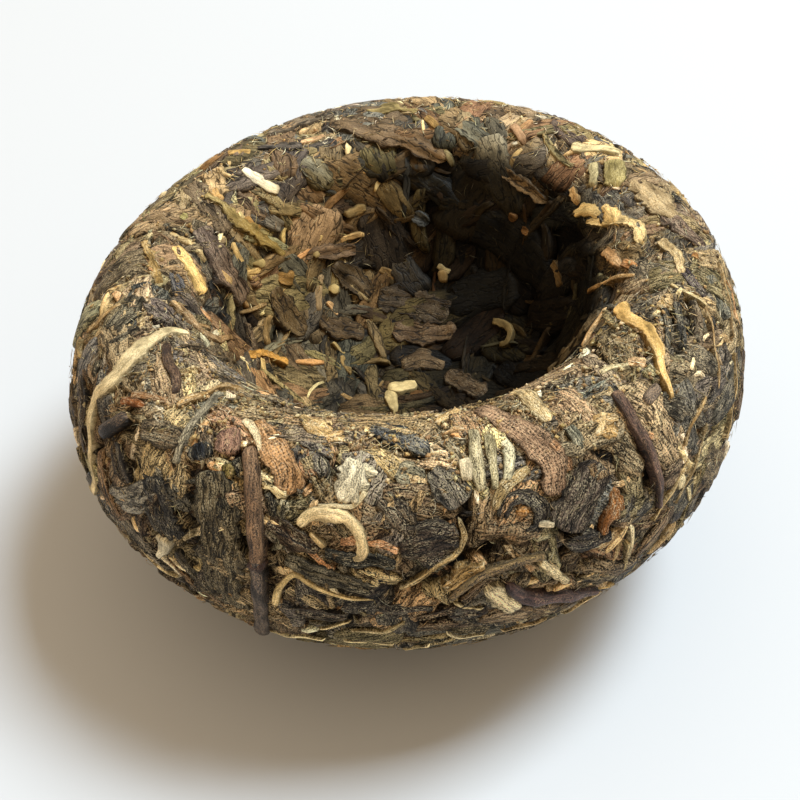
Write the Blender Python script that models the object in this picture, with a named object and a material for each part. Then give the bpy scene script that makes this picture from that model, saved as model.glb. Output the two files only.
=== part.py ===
"""A pu erh tuocha: tea leaves pressed into one thick round bowl, modelled with its hollow upwards.

Metres, +Z up. The origin is on the ground under the middle of the part, and bearings run
anticlockwise from +X, so -90 is the front. An arc is the way along the surface, in millimetres,
from the middle of the hollow, up its wall, over the rim and down to the middle of the foot.
"""
import math

import bmesh
import bpy
import numpy as np
from mathutils import Vector, noise

MM = 0.001

# The pressed body, in millimetres.
WIDTH = 82.0
HEIGHT = 43.0
WIDEST_HEIGHT = 27.6
CREST_RADIUS = 31.9
HOLLOW_DEPTH = 24.4
HOLLOW_FLOOR_REACH = 26.6
WALL_FOOT_RADIUS = 16.7
FOOT_RADIUS = 8.0
SHOULDER_POWER = 1.97
DOME_POWER = 1.88

# How far the press left it from round: oval, faintly three-sided, and with its rim leaning to -X.
OVAL = 0.009
THREE_SIDED = 0.013
RIM_LEAN = 0.047

# The lumps of the body under its flakes.
SECTION_POINTS = 200
SECTION_STEP = 0.25
CORE_POINTS = 1420
ARC_SCATTER = 1.0
BEARING_SCATTER = 0.1
LUMP_COUNT = 240
LUMP_RADIUS = 5.4
LUMP_RISE = 1.3
LUMP_TILT = 0.25
CORE_SINK = 1.7
GRAIN_RISE = 0.35
GRAIN_LENGTH = 6.0
FOOT_MARGIN = 7.0

# The flakes that stand out of it. A flake's long edges are FLAKE_LOW under and 1 - FLAKE_LOW over
# the body, as shares of its rise.
FLAKE_COUNT = 72
FLAKE_FIRST_ARC = 6.0
FLAKE_LENGTHS = (8.0, 14.0)
FLAKE_WIDTHS = (4.0, 6.5)
FLAKE_THICKNESS = 1.6
FLAKE_COLUMNS = 3
FLAKE_END_WIDTH = 0.35
FLAKE_LOW = 0.05
FLAKE_WAVES = (5.0, 3.0)
END_DROP = 0.9
FLOOR_CLEARANCE = 0.3

# The stems and buds over the rim and its flanks. A stem starts at a share of its width, and its
# ends dive under the body by a little more than it rises.
ROUTE_STEPS = 12
STEM_START_WIDTH = 0.5
STEM_START_GROWTH = 8.0
STEM_END_DROP = 1.6

GOLDEN_ANGLE = 137.508
SEED = 11
TEA_COLOUR = (0.12, 0.075, 0.045, 1.0)
TEA_ROUGHNESS = 0.75


def bezier(start, first, second, end, steps):
    """Return points on a cubic curve."""
    t = np.linspace(0.0, 1.0, steps)[:, None]
    s = 1.0 - t
    corners = [np.array(corner) for corner in (start, first, second, end)]
    weights = (s ** 3, 3 * s * s * t, 3 * s * t * t, t ** 3)
    return sum(weight * corner for weight, corner in zip(weights, corners))


def rounded_quarter(centre, reach, power, steps):
    """Return a quarter of a rounded square, from its top (0, 1) to its side (1, 0)."""
    turn = np.linspace(0.0, math.pi / 2, steps)
    across = np.sin(turn) ** (2 / power)
    up = np.clip(np.cos(turn), 0.0, 1.0) ** (2 / power)
    return np.array(centre) + np.array(reach) * np.column_stack([across, up])


def half_section():
    """Return arcs and (radius, height) points: hollow wall, rounded rim, dome and flat foot."""
    floor = HEIGHT - HOLLOW_DEPTH
    side = WIDTH / 2
    hollow = bezier((0, floor), (HOLLOW_FLOOR_REACH, floor), (WALL_FOOT_RADIUS, HEIGHT),
                    (CREST_RADIUS, HEIGHT), SECTION_POINTS)
    shoulder = rounded_quarter((CREST_RADIUS, WIDEST_HEIGHT),
                               (side - CREST_RADIUS, HEIGHT - WIDEST_HEIGHT), SHOULDER_POWER,
                               SECTION_POINTS // 2)
    dome = rounded_quarter((FOOT_RADIUS, WIDEST_HEIGHT),
                           (side - FOOT_RADIUS, -WIDEST_HEIGHT), DOME_POWER, SECTION_POINTS)[::-1]
    curve = np.vstack([hollow, shoulder[1:], dome[1:], [(0.0, 0.0)]])
    run = np.concatenate([[0.0], np.cumsum(np.hypot(*np.diff(curve, axis=0).T))])
    arcs = np.arange(0.0, run[-1], SECTION_STEP)
    points = np.column_stack([np.interp(arcs, run, curve[:, axis]) for axis in (0, 1)])
    return arcs, points, run[-2]


ARCS, SECTION, FOOT_ARC = half_section()
SLOPES = np.gradient(SECTION, ARCS, axis=0)
SLOPES /= np.linalg.norm(SLOPES, axis=1)[:, None]


def on_body(bearings, arcs):
    """Return points of the round body and its outward normals there; bearings in radians."""
    radius, height, run, fall = (np.interp(arcs, ARCS, column)
                                 for column in (*SECTION.T, *SLOPES.T))
    around = np.column_stack([np.cos(bearings), np.sin(bearings)])
    points = np.column_stack([around * radius[:, None], height])
    normals = np.column_stack([around * -fall[:, None], run])
    return points, normals / np.linalg.norm(normals, axis=1)[:, None]


def lay(points, heights):
    """Drop points onto the nearest place of the round body, then raise them by their heights.

    Under the dome the heights are held back, so that nothing reaches the ground beside the foot.
    """
    radius = np.hypot(points[:, 0], points[:, 1])
    off = np.column_stack([radius, points[:, 2]])[:, None] - SECTION
    nearest = (off ** 2).sum(axis=2).argmin(axis=1)
    along = (off[np.arange(len(points)), nearest] * SLOPES[nearest]).sum(axis=1)
    bearings = np.arctan2(points[:, 1], points[:, 0])
    places, normals = on_body(bearings, ARCS[nearest] + along)
    room = (places[:, 2] - FLOOR_CLEARANCE) / np.maximum(-normals[:, 2], 0.01)
    return places + normals * np.minimum(heights, room)[:, None]


def press_uneven(points):
    """Push the round body's points to the uneven outline and the leaning rim."""
    bearings = np.arctan2(points[:, 1], points[:, 0])
    swell = 1 + OVAL * np.sin(2 * bearings) - THREE_SIDED * np.sin(3 * bearings)
    pressed = points.copy()
    pressed[:, :2] *= swell[:, None]
    pressed[:, 2] *= 1 + RIM_LEAN * pressed[:, 0] / (WIDTH / 2)
    return pressed


def spread(count, first_arc, last_arc, rng):
    """Return bearings and arcs of places spread evenly over the surface between two arcs."""
    inside = (ARCS >= first_arc) & (ARCS <= last_arc)
    area = np.cumsum(SECTION[inside, 0])
    share = (np.arange(count) + 0.5) / count
    arcs = np.interp(share, area / area[-1], ARCS[inside])
    arcs += rng.uniform(-ARC_SCATTER, ARC_SCATTER, count)
    bearings = np.radians(GOLDEN_ANGLE) * np.arange(count)
    bearings += rng.uniform(-BEARING_SCATTER, BEARING_SCATTER, count)
    return bearings, arcs


def frame_at(bearing, arc, heading):
    """Return a place on the body, the way a piece points there, and the way across it.

    A heading of 0 degrees runs round the body, anticlockwise, and 90 runs on along the arc.
    """
    place, normal = on_body(np.array([bearing]), np.array([arc]))
    around = np.array([-math.sin(bearing), math.cos(bearing), 0.0])
    outward = np.cross(around, normal[0])
    turn = math.radians(heading)
    along = math.cos(turn) * around + math.sin(turn) * outward
    return place[0], along, np.cross(normal[0], along)


def lumps_at(points, rng):
    """Return the height of the pressed, overlapping lumps of leaf at points of the body."""
    bearings, arcs = spread(LUMP_COUNT, 0.0, FOOT_ARC, rng)
    heights = np.zeros(len(points))
    for bearing, arc, heading in zip(bearings, arcs, rng.uniform(0, 360, LUMP_COUNT)):
        middle, along, across = frame_at(bearing, arc, heading)
        off = points - middle
        far = (off ** 2).sum(axis=1) / LUMP_RADIUS ** 2
        rise = (LUMP_RISE + LUMP_TILT * (off @ along)) * (1 - far * far)
        heights = np.maximum(heights, np.where(far < 1, rise, 0.0))
    grain = [noise.noise(Vector(point) / GRAIN_LENGTH) for point in points]
    return heights + GRAIN_RISE * np.array(grain)


def make_mesh(name, points, faces):
    """Return an object of pressed points, given in millimetres on the round body."""
    mesh = bpy.data.meshes.new(name)
    mesh.from_pydata((press_uneven(points) * MM).tolist(), [], faces)
    piece = bpy.data.objects.new(name, mesh)
    bpy.context.scene.collection.objects.link(piece)
    return piece


def make_core(rng):
    """Return the pressed body: an even net of triangles over a ball, drawn over the section."""
    share = (np.arange(CORE_POINTS) + 0.5) / CORE_POINTS
    bearings = np.radians(GOLDEN_ANGLE) * np.arange(CORE_POINTS)
    up = 1 - 2 * share
    level = np.sqrt(1 - up * up)
    ball = np.column_stack([level * np.cos(bearings), level * np.sin(bearings), up])
    net = bmesh.new()
    for point in ball:
        net.verts.new(point)
    net.verts.index_update()
    hull = bmesh.ops.convex_hull(net, input=net.verts)
    faces = [[vertex.index for vertex in face.verts] for face in hull["geom"]
             if isinstance(face, bmesh.types.BMFace)]
    net.free()
    area = np.cumsum(SECTION[:, 0])
    arcs = np.interp(share, area / area[-1], ARCS)
    places, normals = on_body(bearings, arcs)
    fade = np.clip((FOOT_ARC - arcs) / FOOT_MARGIN, 0.0, 1.0)
    heights = (lumps_at(places, rng) - CORE_SINK) * fade
    return make_mesh("tuocha", places + normals * heights[:, None], faces)


def shell_faces(rows, columns):
    """Return the triangles of two like grids, the upper one first, closed along their edges."""
    upper = rows * columns
    grid = np.arange(upper).reshape(rows, columns)
    a, b, c, d = (part.ravel() for part in (grid[:-1, :-1], grid[1:, :-1], grid[1:, 1:], grid[:-1, 1:]))
    top = np.vstack([np.column_stack([a, b, c]), np.column_stack([a, c, d])])
    edge = np.concatenate([grid[:-1, 0], grid[-1, :-1], grid[:0:-1, -1], grid[0, :0:-1]])
    onward = np.roll(edge, -1)
    walls = np.vstack([np.column_stack([edge, edge + upper, onward + upper]),
                       np.column_stack([edge, onward + upper, onward])])
    return np.vstack([top, top[:, ::-1] + upper, walls]).tolist()


def make_flake(bearing, arc, heading, length, width, rise=1.2, wave=0.35, rows=4):
    """Return a flat leaf flake: one long edge sunk in the body, the other standing proud."""
    middle, along, across = frame_at(math.radians(bearing), arc, heading)
    run, side = np.meshgrid(np.linspace(-0.5, 0.5, rows), np.linspace(-0.5, 0.5, FLAKE_COLUMNS),
                            indexing="ij")
    taper = FLAKE_END_WIDTH + (1 - FLAKE_END_WIDTH) * np.cos(math.pi * run) ** 0.5
    path = middle + (run * length).reshape(-1, 1) * along
    flat = path + (side * width * taper).reshape(-1, 1) * across
    tops = rise * (0.5 - FLAKE_LOW + side)
    tops += wave * np.cos(FLAKE_WAVES[0] * run + FLAKE_WAVES[1] * side + heading)
    tops -= END_DROP * rise * (2 * np.abs(run)) ** 3
    upper = lay(flat, tops.ravel())
    lower = lay(flat, tops.ravel() - FLAKE_THICKNESS)
    return make_mesh("flake", np.vstack([upper, lower]), shell_faces(rows, FLAKE_COLUMNS))


def smooth_route(stops, steps):
    """Return evenly spaced places on the body along a smooth way through (bearing, arc) stops."""
    places, _ = on_body(*np.array([(math.radians(bearing), arc) for bearing, arc in stops]).T)
    ends = np.vstack([2 * places[0] - places[1], places, 2 * places[-1] - places[-2]])
    fine = []
    for a, b, c, d in zip(ends, ends[1:], ends[2:], ends[3:]):
        for t in np.linspace(0.0, 1.0, ROUTE_STEPS, endpoint=False):
            fine.append(0.5 * (2 * b + (c - a) * t + (2 * a - 5 * b + 4 * c - d) * t ** 2
                               + (3 * b - a - 3 * c + d) * t ** 3))
    fine = np.array(fine + [places[-1]])
    run = np.concatenate([[0.0], np.cumsum(np.linalg.norm(np.diff(fine, axis=0), axis=1))])
    even = np.linspace(0.0, run[-1], steps)
    return np.column_stack([np.interp(even, run, fine[:, axis]) for axis in range(3)])


def make_stem(stops, width, rise, flatness=0.8, taper=0.5, steps=8, sides=5):
    """Return a stem or a bud: an oval rod along the surface, thinner to its last end, its ends sunk."""
    route = smooth_route(stops, steps)
    ground = lay(route, np.zeros(steps))
    normals = lay(route, np.ones(steps)) - ground
    forward = np.gradient(ground, axis=0)
    across = np.cross(normals, forward)
    across /= np.linalg.norm(across, axis=1)[:, None]
    share = np.linspace(0.0, 1.0, steps)
    swell = (1 - taper * share) * np.clip(STEM_START_GROWTH * share + STEM_START_WIDTH, 0, 1)
    heights = rise - STEM_END_DROP * rise * np.abs(2 * share - 1) ** 6
    rings = []
    for turn in np.arange(sides) * 2 * math.pi / sides:
        outward = math.cos(turn) * across + math.sin(turn) * flatness * normals
        rings.append(ground + normals * heights[:, None] + outward * (swell * width / 2)[:, None])
    points = np.array(rings).transpose(1, 0, 2).reshape(-1, 3)
    faces = [list(range(sides))[::-1], list(range(len(points) - sides, len(points)))]
    for ring in range(steps - 1):
        for side in range(sides):
            start = ring * sides
            ahead = (side + 1) % sides
            faces.append([start + side, start + ahead, start + sides + ahead, start + sides + side])
    return make_mesh("stem", points, faces)


def make_stems():
    """Return the long buds and stems that lie over the rim and its flanks."""
    return [
        make_stem([(-157, 36), (-152, 47), (-151, 57), (-148, 68)], width=3.0, rise=0.6, taper=0.6),
        make_stem([(-119, 45), (-115, 53), (-113, 62), (-112, 72)], width=2.4, rise=0.6, taper=0.2),
        make_stem([(-51, 44), (-50, 51), (-49, 61)], width=2.2, rise=0.6, taper=0.5),
        make_stem([(-66, 58), (-78, 59), (-87, 64)], width=1.9, rise=0.5, taper=0.3),
        make_stem([(-110, 54), (-104, 50.5), (-98, 52), (-97, 56.5)], width=1.8, rise=0.7, taper=0.2),
        make_stem([(-111, 65), (-107, 59), (-102, 60.5), (-94, 62)], width=1.3, rise=0.4, taper=0.3),
        make_stem([(-21, 36), (-32, 42.5), (-38, 46.5), (-40, 51)], width=2.2, rise=0.6, taper=0.6),
        make_stem([(-75, 38), (-70, 44), (-66, 50), (-67, 55)], width=3.6, rise=0.4, flatness=0.5),
        make_stem([(-82, 52), (-82, 55), (-86, 58), (-93, 60.5)], width=1.6, rise=0.6, taper=0.1),
        make_stem([(137, 42), (129, 34)], width=1.8, rise=0.5, taper=0.3, steps=6),
        make_stem([(170, 41), (-177, 33)], width=2.0, rise=0.5, taper=0.4, steps=6),
        make_stem([(24, 34), (8, 39.5), (0, 41)], width=1.5, rise=0.5, taper=0.2, steps=7),
        make_stem([(109, 42), (88, 37), (74, 34)], width=1.8, rise=0.4, taper=0.3, steps=7),
        make_stem([(178, 24), (168, 15)], width=1.4, rise=0.5, taper=0.3, steps=6),
    ]


def make_main_flakes():
    """Return the flat leaves and torn flakes that show most, along the front and the rim."""
    return [
        make_flake(-122, 59, 88, 17, 6.5, rise=0.8),
        make_flake(-117, 47, 60, 9, 4.0, rise=0.9),
        make_flake(-107, 42, 15, 6, 4.0, rise=1.1),
        make_flake(-100, 47, 80, 7, 4.5, rise=1.0),
        make_flake(-90, 47, 20, 5, 4.5, rise=0.9),
        make_flake(-62, 53, 80, 9, 7.0, rise=0.8),
        make_flake(-57, 58, 85, 7, 2.6, rise=1.0),
        make_flake(-87, 55, 30, 6, 5.0, rise=0.9),
        make_flake(-82, 60, -15, 6, 2.6, rise=0.9),
        make_flake(-67, 66, 12, 12, 2.4, rise=0.9),
        make_flake(-71, 51, 120, 6, 2.2, rise=0.9),
        make_flake(-62, 40, 80, 8, 3.4, rise=0.8),
        make_flake(38, 42, -20, 7, 2.4, rise=0.8),
        make_flake(-133, 43, -30, 10, 3.2, rise=0.9),
    ]


def make_flakes(rng):
    """Return flakes of all sizes, spread evenly over the hollow, the rim and the underside."""
    bearings, arcs = spread(FLAKE_COUNT, FLAKE_FIRST_ARC, FOOT_ARC - FOOT_MARGIN, rng)
    flakes = []
    for bearing, arc in zip(bearings, arcs):
        flakes.append(make_flake(math.degrees(bearing), arc, rng.uniform(0, 360),
                                 rng.uniform(*FLAKE_LENGTHS), rng.uniform(*FLAKE_WIDTHS), rows=3))
    return flakes


def fuse(core, pieces):
    """Join the pieces to the core with one Boolean union and remove them."""
    loose = bpy.data.collections.new("loose leaves")
    bpy.context.scene.collection.children.link(loose)
    for piece in pieces:
        bpy.context.scene.collection.objects.unlink(piece)
        loose.objects.link(piece)
    union = core.modifiers.new("pressed together", "BOOLEAN")
    union.operation = "UNION"
    union.operand_type = "COLLECTION"
    union.collection = loose
    union.solver = "EXACT"
    graph = bpy.context.evaluated_depsgraph_get()
    fused = bpy.data.meshes.new_from_object(core.evaluated_get(graph))
    core.modifiers.clear()
    core.data = fused
    for piece in pieces:
        bpy.data.objects.remove(piece, do_unlink=True)
    bpy.data.collections.remove(loose)


def keep_outer_skin(body):
    """Drop loose scraps and fill hollows that the fusing sealed, by keeping the largest skin."""
    mesh = bmesh.new()
    mesh.from_mesh(body.data)
    unseen = set(mesh.verts)
    skins = []
    while unseen:
        skin = [unseen.pop()]
        for vertex in skin:
            for edge in vertex.link_edges:
                other = edge.other_vert(vertex)
                if other in unseen:
                    unseen.remove(other)
                    skin.append(other)
        skins.append(skin)
    skins.sort(key=len)
    for skin in skins[:-1]:
        bmesh.ops.delete(mesh, geom=skin, context="VERTS")
    bmesh.ops.triangulate(mesh, faces=mesh.faces)
    mesh.to_mesh(body.data)
    mesh.free()


def centre_over_origin(body):
    """Move the points so that the middle of the body's box is over the origin."""
    points = np.array([vertex.co for vertex in body.data.vertices])
    middle = (points.min(axis=0) + points.max(axis=0)) / 2
    points[:, :2] -= middle[:2]
    body.data.vertices.foreach_set("co", points.astype(np.float32).ravel())


def tea_material():
    """Return the dark brown of ripe pressed tea."""
    tea = bpy.data.materials.new("pressed tea")
    tea.use_nodes = True
    shader = tea.node_tree.nodes["Principled BSDF"]
    shader.inputs["Base Color"].default_value = TEA_COLOUR
    shader.inputs["Roughness"].default_value = TEA_ROUGHNESS
    shader.inputs["Metallic"].default_value = 0.0
    return tea


for old in list(bpy.data.objects):
    bpy.data.objects.remove(old, do_unlink=True)

random = np.random.default_rng(SEED)
tuocha = make_core(random)
fuse(tuocha, make_stems() + make_main_flakes() + make_flakes(random))
keep_outer_skin(tuocha)
centre_over_origin(tuocha)
tuocha.data.materials.clear()
tuocha.data.materials.append(tea_material())
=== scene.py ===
"""Looks of a pu erh tuocha: a bowl of pressed tea leaves, on a pale table in window light.

Sizes are in millimetres in the script and become metres when a mesh is made. A bearing runs
anticlockwise from +X, so -90 degrees is the front. An arc is the way along the surface, from the
middle of the hollow, up its wall, over the rim and down to the middle of the foot.
"""
import math

import bmesh
import bpy
import numpy as np
from mathutils import Matrix, Vector
from mathutils.bvhtree import BVHTree


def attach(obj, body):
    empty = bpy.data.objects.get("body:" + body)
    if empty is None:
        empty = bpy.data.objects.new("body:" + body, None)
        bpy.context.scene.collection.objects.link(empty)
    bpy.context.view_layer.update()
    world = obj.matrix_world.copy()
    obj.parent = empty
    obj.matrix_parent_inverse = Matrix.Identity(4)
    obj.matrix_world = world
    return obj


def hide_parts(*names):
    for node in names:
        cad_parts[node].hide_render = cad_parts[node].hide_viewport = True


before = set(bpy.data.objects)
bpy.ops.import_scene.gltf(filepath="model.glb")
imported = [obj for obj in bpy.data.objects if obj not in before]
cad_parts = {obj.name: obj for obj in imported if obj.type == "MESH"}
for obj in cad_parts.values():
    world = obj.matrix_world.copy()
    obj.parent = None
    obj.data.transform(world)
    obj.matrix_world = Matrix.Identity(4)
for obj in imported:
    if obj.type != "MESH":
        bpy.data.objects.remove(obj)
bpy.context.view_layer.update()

# The view. A small thing photographed from close by: the camera is 20 cm away and looks down on
# it at 43 degrees, so the front of the rim looks much larger than its back.
MM = 0.001
PICTURE_SIDE = 800
CAMERA_ANGLE = 42.65
CAMERA_DISTANCE = 199.7
CAMERA_ROLL = -0.95
FOCAL_PIXELS = 1564.0
OFF_CENTRE_PIXELS = (6.5, -11.7)
SENSOR_WIDTH = 36.0
TEA_MIDDLE = np.array([0.0, -0.54, 21.5])

camera_angle = math.radians(CAMERA_ANGLE)
camera_roll = math.radians(CAMERA_ROLL)
BACKWARD = np.array([0.0, -math.cos(camera_angle), math.sin(camera_angle)])
level = np.array([1.0, 0.0, 0.0])
upright = np.cross(BACKWARD, level)
RIGHTWARD = math.cos(camera_roll) * level + math.sin(camera_roll) * upright
UPWARD = math.cos(camera_roll) * upright - math.sin(camera_roll) * level
CAMERA_PLACE = TEA_MIDDLE + CAMERA_DISTANCE * BACKWARD

camera = bpy.data.objects.new("camera", bpy.data.cameras.new("camera"))
bpy.context.scene.collection.objects.link(camera)
camera.matrix_world = Matrix.Translation(Vector(CAMERA_PLACE * MM)) @ Matrix(
    np.column_stack([RIGHTWARD, UPWARD, BACKWARD]).tolist()).to_4x4()
camera.data.sensor_width = SENSOR_WIDTH
camera.data.lens = SENSOR_WIDTH * FOCAL_PIXELS / PICTURE_SIDE
camera.data.shift_x = -OFF_CENTRE_PIXELS[0] / PICTURE_SIDE
camera.data.shift_y = OFF_CENTRE_PIXELS[1] / PICTURE_SIDE
camera.data.clip_start = 0.01
camera.data.dof.use_dof = False
bpy.context.scene.camera = camera
bpy.context.scene.view_settings.view_transform = "Standard"


def sight_lines(pixels):
    """Return unit directions from the camera through pixels: right and down from the middle."""
    off = np.asarray(pixels, float) - PICTURE_SIDE / 2 - OFF_CENTRE_PIXELS
    lines = off[:, :1] * RIGHTWARD - off[:, 1:] * UPWARD - FOCAL_PIXELS * BACKWARD
    return lines / np.linalg.norm(lines, axis=1)[:, None]


# The shape of the cake. Steamed leaves are squeezed in a cloth bag round the twisted knot of the
# bag, which leaves the hollow. Every piece is laid on this shape, by its bearing and its arc.
WIDTH = 82.0
HEIGHT = 43.0
WIDEST_HEIGHT = 27.6
CREST_RADIUS = 31.9
HOLLOW_DEPTH = 24.4
HOLLOW_FLOOR_REACH = 26.6
WALL_FOOT_RADIUS = 16.7
FOOT_RADIUS = 8.0
SHOULDER_POWER = 1.97
DOME_POWER = 1.88
OVAL = 0.009
THREE_SIDED = 0.013
RIM_LEAN = 0.047
FLOOR_CLEARANCE = 0.15
SECTION_STEP = 0.25
CURVE_POINTS = 200
SHOULDER_POINTS = 100
SLIDES = 5
LEAST_FALL = 0.01
MIDDLE_SHIFT = np.array([0.0, -0.54, 0.0])


def bezier(start, first, second, end, steps):
    """Return points on a cubic curve."""
    t = np.linspace(0.0, 1.0, steps)[:, None]
    s = 1.0 - t
    corners = [np.array(corner) for corner in (start, first, second, end)]
    weights = (s ** 3, 3 * s * s * t, 3 * s * t * t, t ** 3)
    return sum(weight * corner for weight, corner in zip(weights, corners))


def rounded_quarter(centre, reach, power, steps):
    """Return a quarter of a rounded square: |x|^power + |y|^power = 1, top to side."""
    turn = np.linspace(0.0, math.pi / 2, steps)
    across = np.sin(turn) ** (2 / power)
    up = np.clip(np.cos(turn), 0.0, 1.0) ** (2 / power)
    return np.array(centre) + np.array(reach) * np.column_stack([across, up])


def run_along(points):
    """Return how far along their line points are."""
    return np.concatenate([[0.0], np.cumsum(np.linalg.norm(np.diff(points, axis=0), axis=1))])


def points_along(way, run, points):
    """Return points at distances on the way along a line of points."""
    return np.column_stack([np.interp(way, run, column) for column in points.T])


def half_section():
    """Return arcs and (radius, height) points: hollow wall, rounded rim, dome and flat foot."""
    floor = HEIGHT - HOLLOW_DEPTH
    side = WIDTH / 2
    hollow = bezier((0, floor), (HOLLOW_FLOOR_REACH, floor), (WALL_FOOT_RADIUS, HEIGHT),
                    (CREST_RADIUS, HEIGHT), CURVE_POINTS)
    shoulder = rounded_quarter((CREST_RADIUS, WIDEST_HEIGHT),
                               (side - CREST_RADIUS, HEIGHT - WIDEST_HEIGHT), SHOULDER_POWER,
                               SHOULDER_POINTS)
    dome = rounded_quarter((FOOT_RADIUS, WIDEST_HEIGHT),
                           (side - FOOT_RADIUS, -WIDEST_HEIGHT), DOME_POWER, CURVE_POINTS)[::-1]
    curve = np.vstack([hollow, shoulder[1:], dome[1:], [(0.0, 0.0)]])
    run = run_along(curve)
    arcs = np.append(np.arange(0.0, run[-1], SECTION_STEP), run[-1])
    return arcs, points_along(arcs, run, curve), run[-2]


ARCS, SECTION, FOOT_ARC = half_section()
SLOPES = np.gradient(SECTION, ARCS, axis=0)
SLOPES /= np.linalg.norm(SLOPES, axis=1)[:, None]


def section_at(arcs):
    """Return the section's radius and height at arcs, and how fast each grows along it."""
    return [np.interp(arcs, ARCS, column) for column in (*SECTION.T, *SLOPES.T)]


def on_body(bearings, arcs):
    """Return points of the round body and its outward normals, for arrays of one shape."""
    radius, height, run, fall = section_at(arcs)
    size = np.hypot(run, fall)
    cosine, sine = np.cos(bearings), np.sin(bearings)
    points = np.stack([radius * cosine, radius * sine, height], axis=-1)
    normals = np.stack([-fall / size * cosine, -fall / size * sine, run / size], axis=-1)
    return points, normals


def slope_at(bearings, arcs):
    """Return the directions in which the arc grows."""
    _, _, run, fall = section_at(arcs)
    return np.column_stack([run * np.cos(bearings), run * np.sin(bearings), fall])


def swell_at(points):
    """Return how much wider the uneven outline is than the round body, at points' bearings."""
    bearings = np.arctan2(points[..., 1], points[..., 0])
    return 1 + OVAL * np.sin(2 * bearings) - THREE_SIDED * np.sin(3 * bearings)


def to_scene(points):
    """Push points of the round body out to the uneven outline and the leaning rim."""
    swell = swell_at(points)
    lean = 1 + RIM_LEAN * points[..., 0] * swell / (WIDTH / 2)
    return points * np.stack([swell, swell, lean], axis=-1) + MIDDLE_SHIFT


def from_scene(points):
    """Undo to_scene, for points on or near the body."""
    points = points - MIDDLE_SHIFT
    swell = swell_at(points)
    lean = 1 + RIM_LEAN * points[..., 0] / (WIDTH / 2)
    return points / np.stack([swell, swell, lean], axis=-1)


def lay(points, heights, arcs):
    """Drop points onto the nearest place of the body and raise them by their heights.

    The nearest arc is found by sliding from a first guess along the section's tangent. Under the
    dome the heights are held back, so that nothing reaches the table beside the foot.
    """
    radius = np.hypot(points[..., 0], points[..., 1])
    for _ in range(SLIDES):
        ring, height, run, fall = section_at(arcs)
        arcs = np.clip(arcs + (radius - ring) * run + (points[..., 2] - height) * fall, 0, ARCS[-1])
    places, normals = on_body(np.arctan2(points[..., 1], points[..., 0]), arcs)
    room = (places[..., 2] - FLOOR_CLEARANCE) / np.maximum(-normals[..., 2], LEAST_FALL)
    return places + normals * np.minimum(heights, room)[..., None]


def frames_at(bearings, arcs, headings):
    """Return places on the body, the way a piece points there, and the way across it.

    A heading of 0 runs round the body, anticlockwise, and a quarter turn runs on along the arc.
    """
    places, normals = on_body(bearings, arcs)
    around = np.stack([-np.sin(bearings), np.cos(bearings), np.zeros_like(bearings)], axis=-1)
    outward = np.cross(around, normals)
    along = np.cos(headings)[..., None] * around + np.sin(headings)[..., None] * outward
    return places, along, np.cross(normals, along)


GOLDEN_TURN = 0.6180339887
BEARING_STRAY = 0.05
UV_STRAY = 400


def spread(count, first_arc, last_arc, rng):
    """Return bearings and arcs of places spread evenly over the surface between two arcs."""
    inside = (ARCS >= first_arc) & (ARCS <= last_arc)
    area = np.cumsum(SECTION[inside, 0])
    share = (np.arange(count) + rng.uniform(0, 1, count)) / count
    arcs = np.interp(share, area / area[-1], ARCS[inside])
    turns = np.arange(count) * GOLDEN_TURN + rng.uniform(0, BEARING_STRAY, count)
    return 2 * math.pi * (turns % 1) - math.pi, arcs


def srgb(red, green, blue):
    """Return a linear colour from 0 to 255 screen values."""
    screen = np.array([red, green, blue]) / 255
    return np.where(screen < 0.04045, screen / 12.92, ((screen + 0.055) / 1.055) ** 2.4)


def grid_faces(sheets, rows, columns, closed=False):
    """Return the quads of like grids, one after another; closed joins the last column on."""
    down = np.arange(rows - 1)[:, None] * columns
    right = np.arange(columns if closed else columns - 1)
    a = (down + right).ravel()
    b = (down + (right + 1) % columns).ravel()
    one = np.column_stack([a, a + columns, b + columns, b])
    return (one + np.arange(sheets)[:, None, None] * rows * columns).reshape(-1, 4)


def beyond(values, start):
    """Return how far values are past a start on their way to 1 or -1, as 0 to 1."""
    return np.clip((np.abs(values) - start) / (1 - start), 0, 1)


# Painted light and shade. The leaves are painted lighter along the crest of the rim, most of all
# at the front, painted darker as shade deep in the hollow and under the belly, and painted lighter
# on the left wall of the hollow, which looks up at the window.
CREST_SPREAD = 6.5
CREST_FOOT = 33.0
CREST_FADE = 6.0
HOLLOW_EDGE = 25.5
HOLLOW_EDGE_SWING = 2.5
HOLLOW_FLOOR = 12.0
HOLLOW_FADE = 4.0
DOWN_SHARE = 0.75
DOWN_REACH = 40.0
DOWN_LIMITS = (0.15, 1.8)
HOLLOW_BARENESS = 0.5
LEFT_REACH = 18.0
LEFT_WALL_PAINTED_LIGHT = 0.75
HOLLOW_PAINTED_SHADE = 0.78
DARKEST = 0.05
FRONT_REACH = 30.0
FRONT_PAINTED_LIGHT = 0.05
CREST_PAINTED_LIGHT = 0.1
FRONT_CREST_PAINTED_LIGHT = 0.9
PAINTED_LIGHT_GAIN = 1.1
BELLY_PAINTED_SHADE = 0.65
BELLY_RISE = 55.0
# Painted warm shade in the hollow: the share of green and blue that the tints lose there.
HOLLOW_PAINTED_SHADE_TINT = np.array([0.0, 0.11, 0.32])


def crest_of(points):
    """Return how near points are to the crest of the rim, 1 on it: most down and most painted light."""
    radius = np.hypot(points[..., 0], points[..., 1])
    high = np.clip((points[..., 2] - CREST_FOOT) / CREST_FADE, 0, 1)
    return np.exp(-((radius - CREST_RADIUS) / CREST_SPREAD) ** 2) * high


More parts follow.
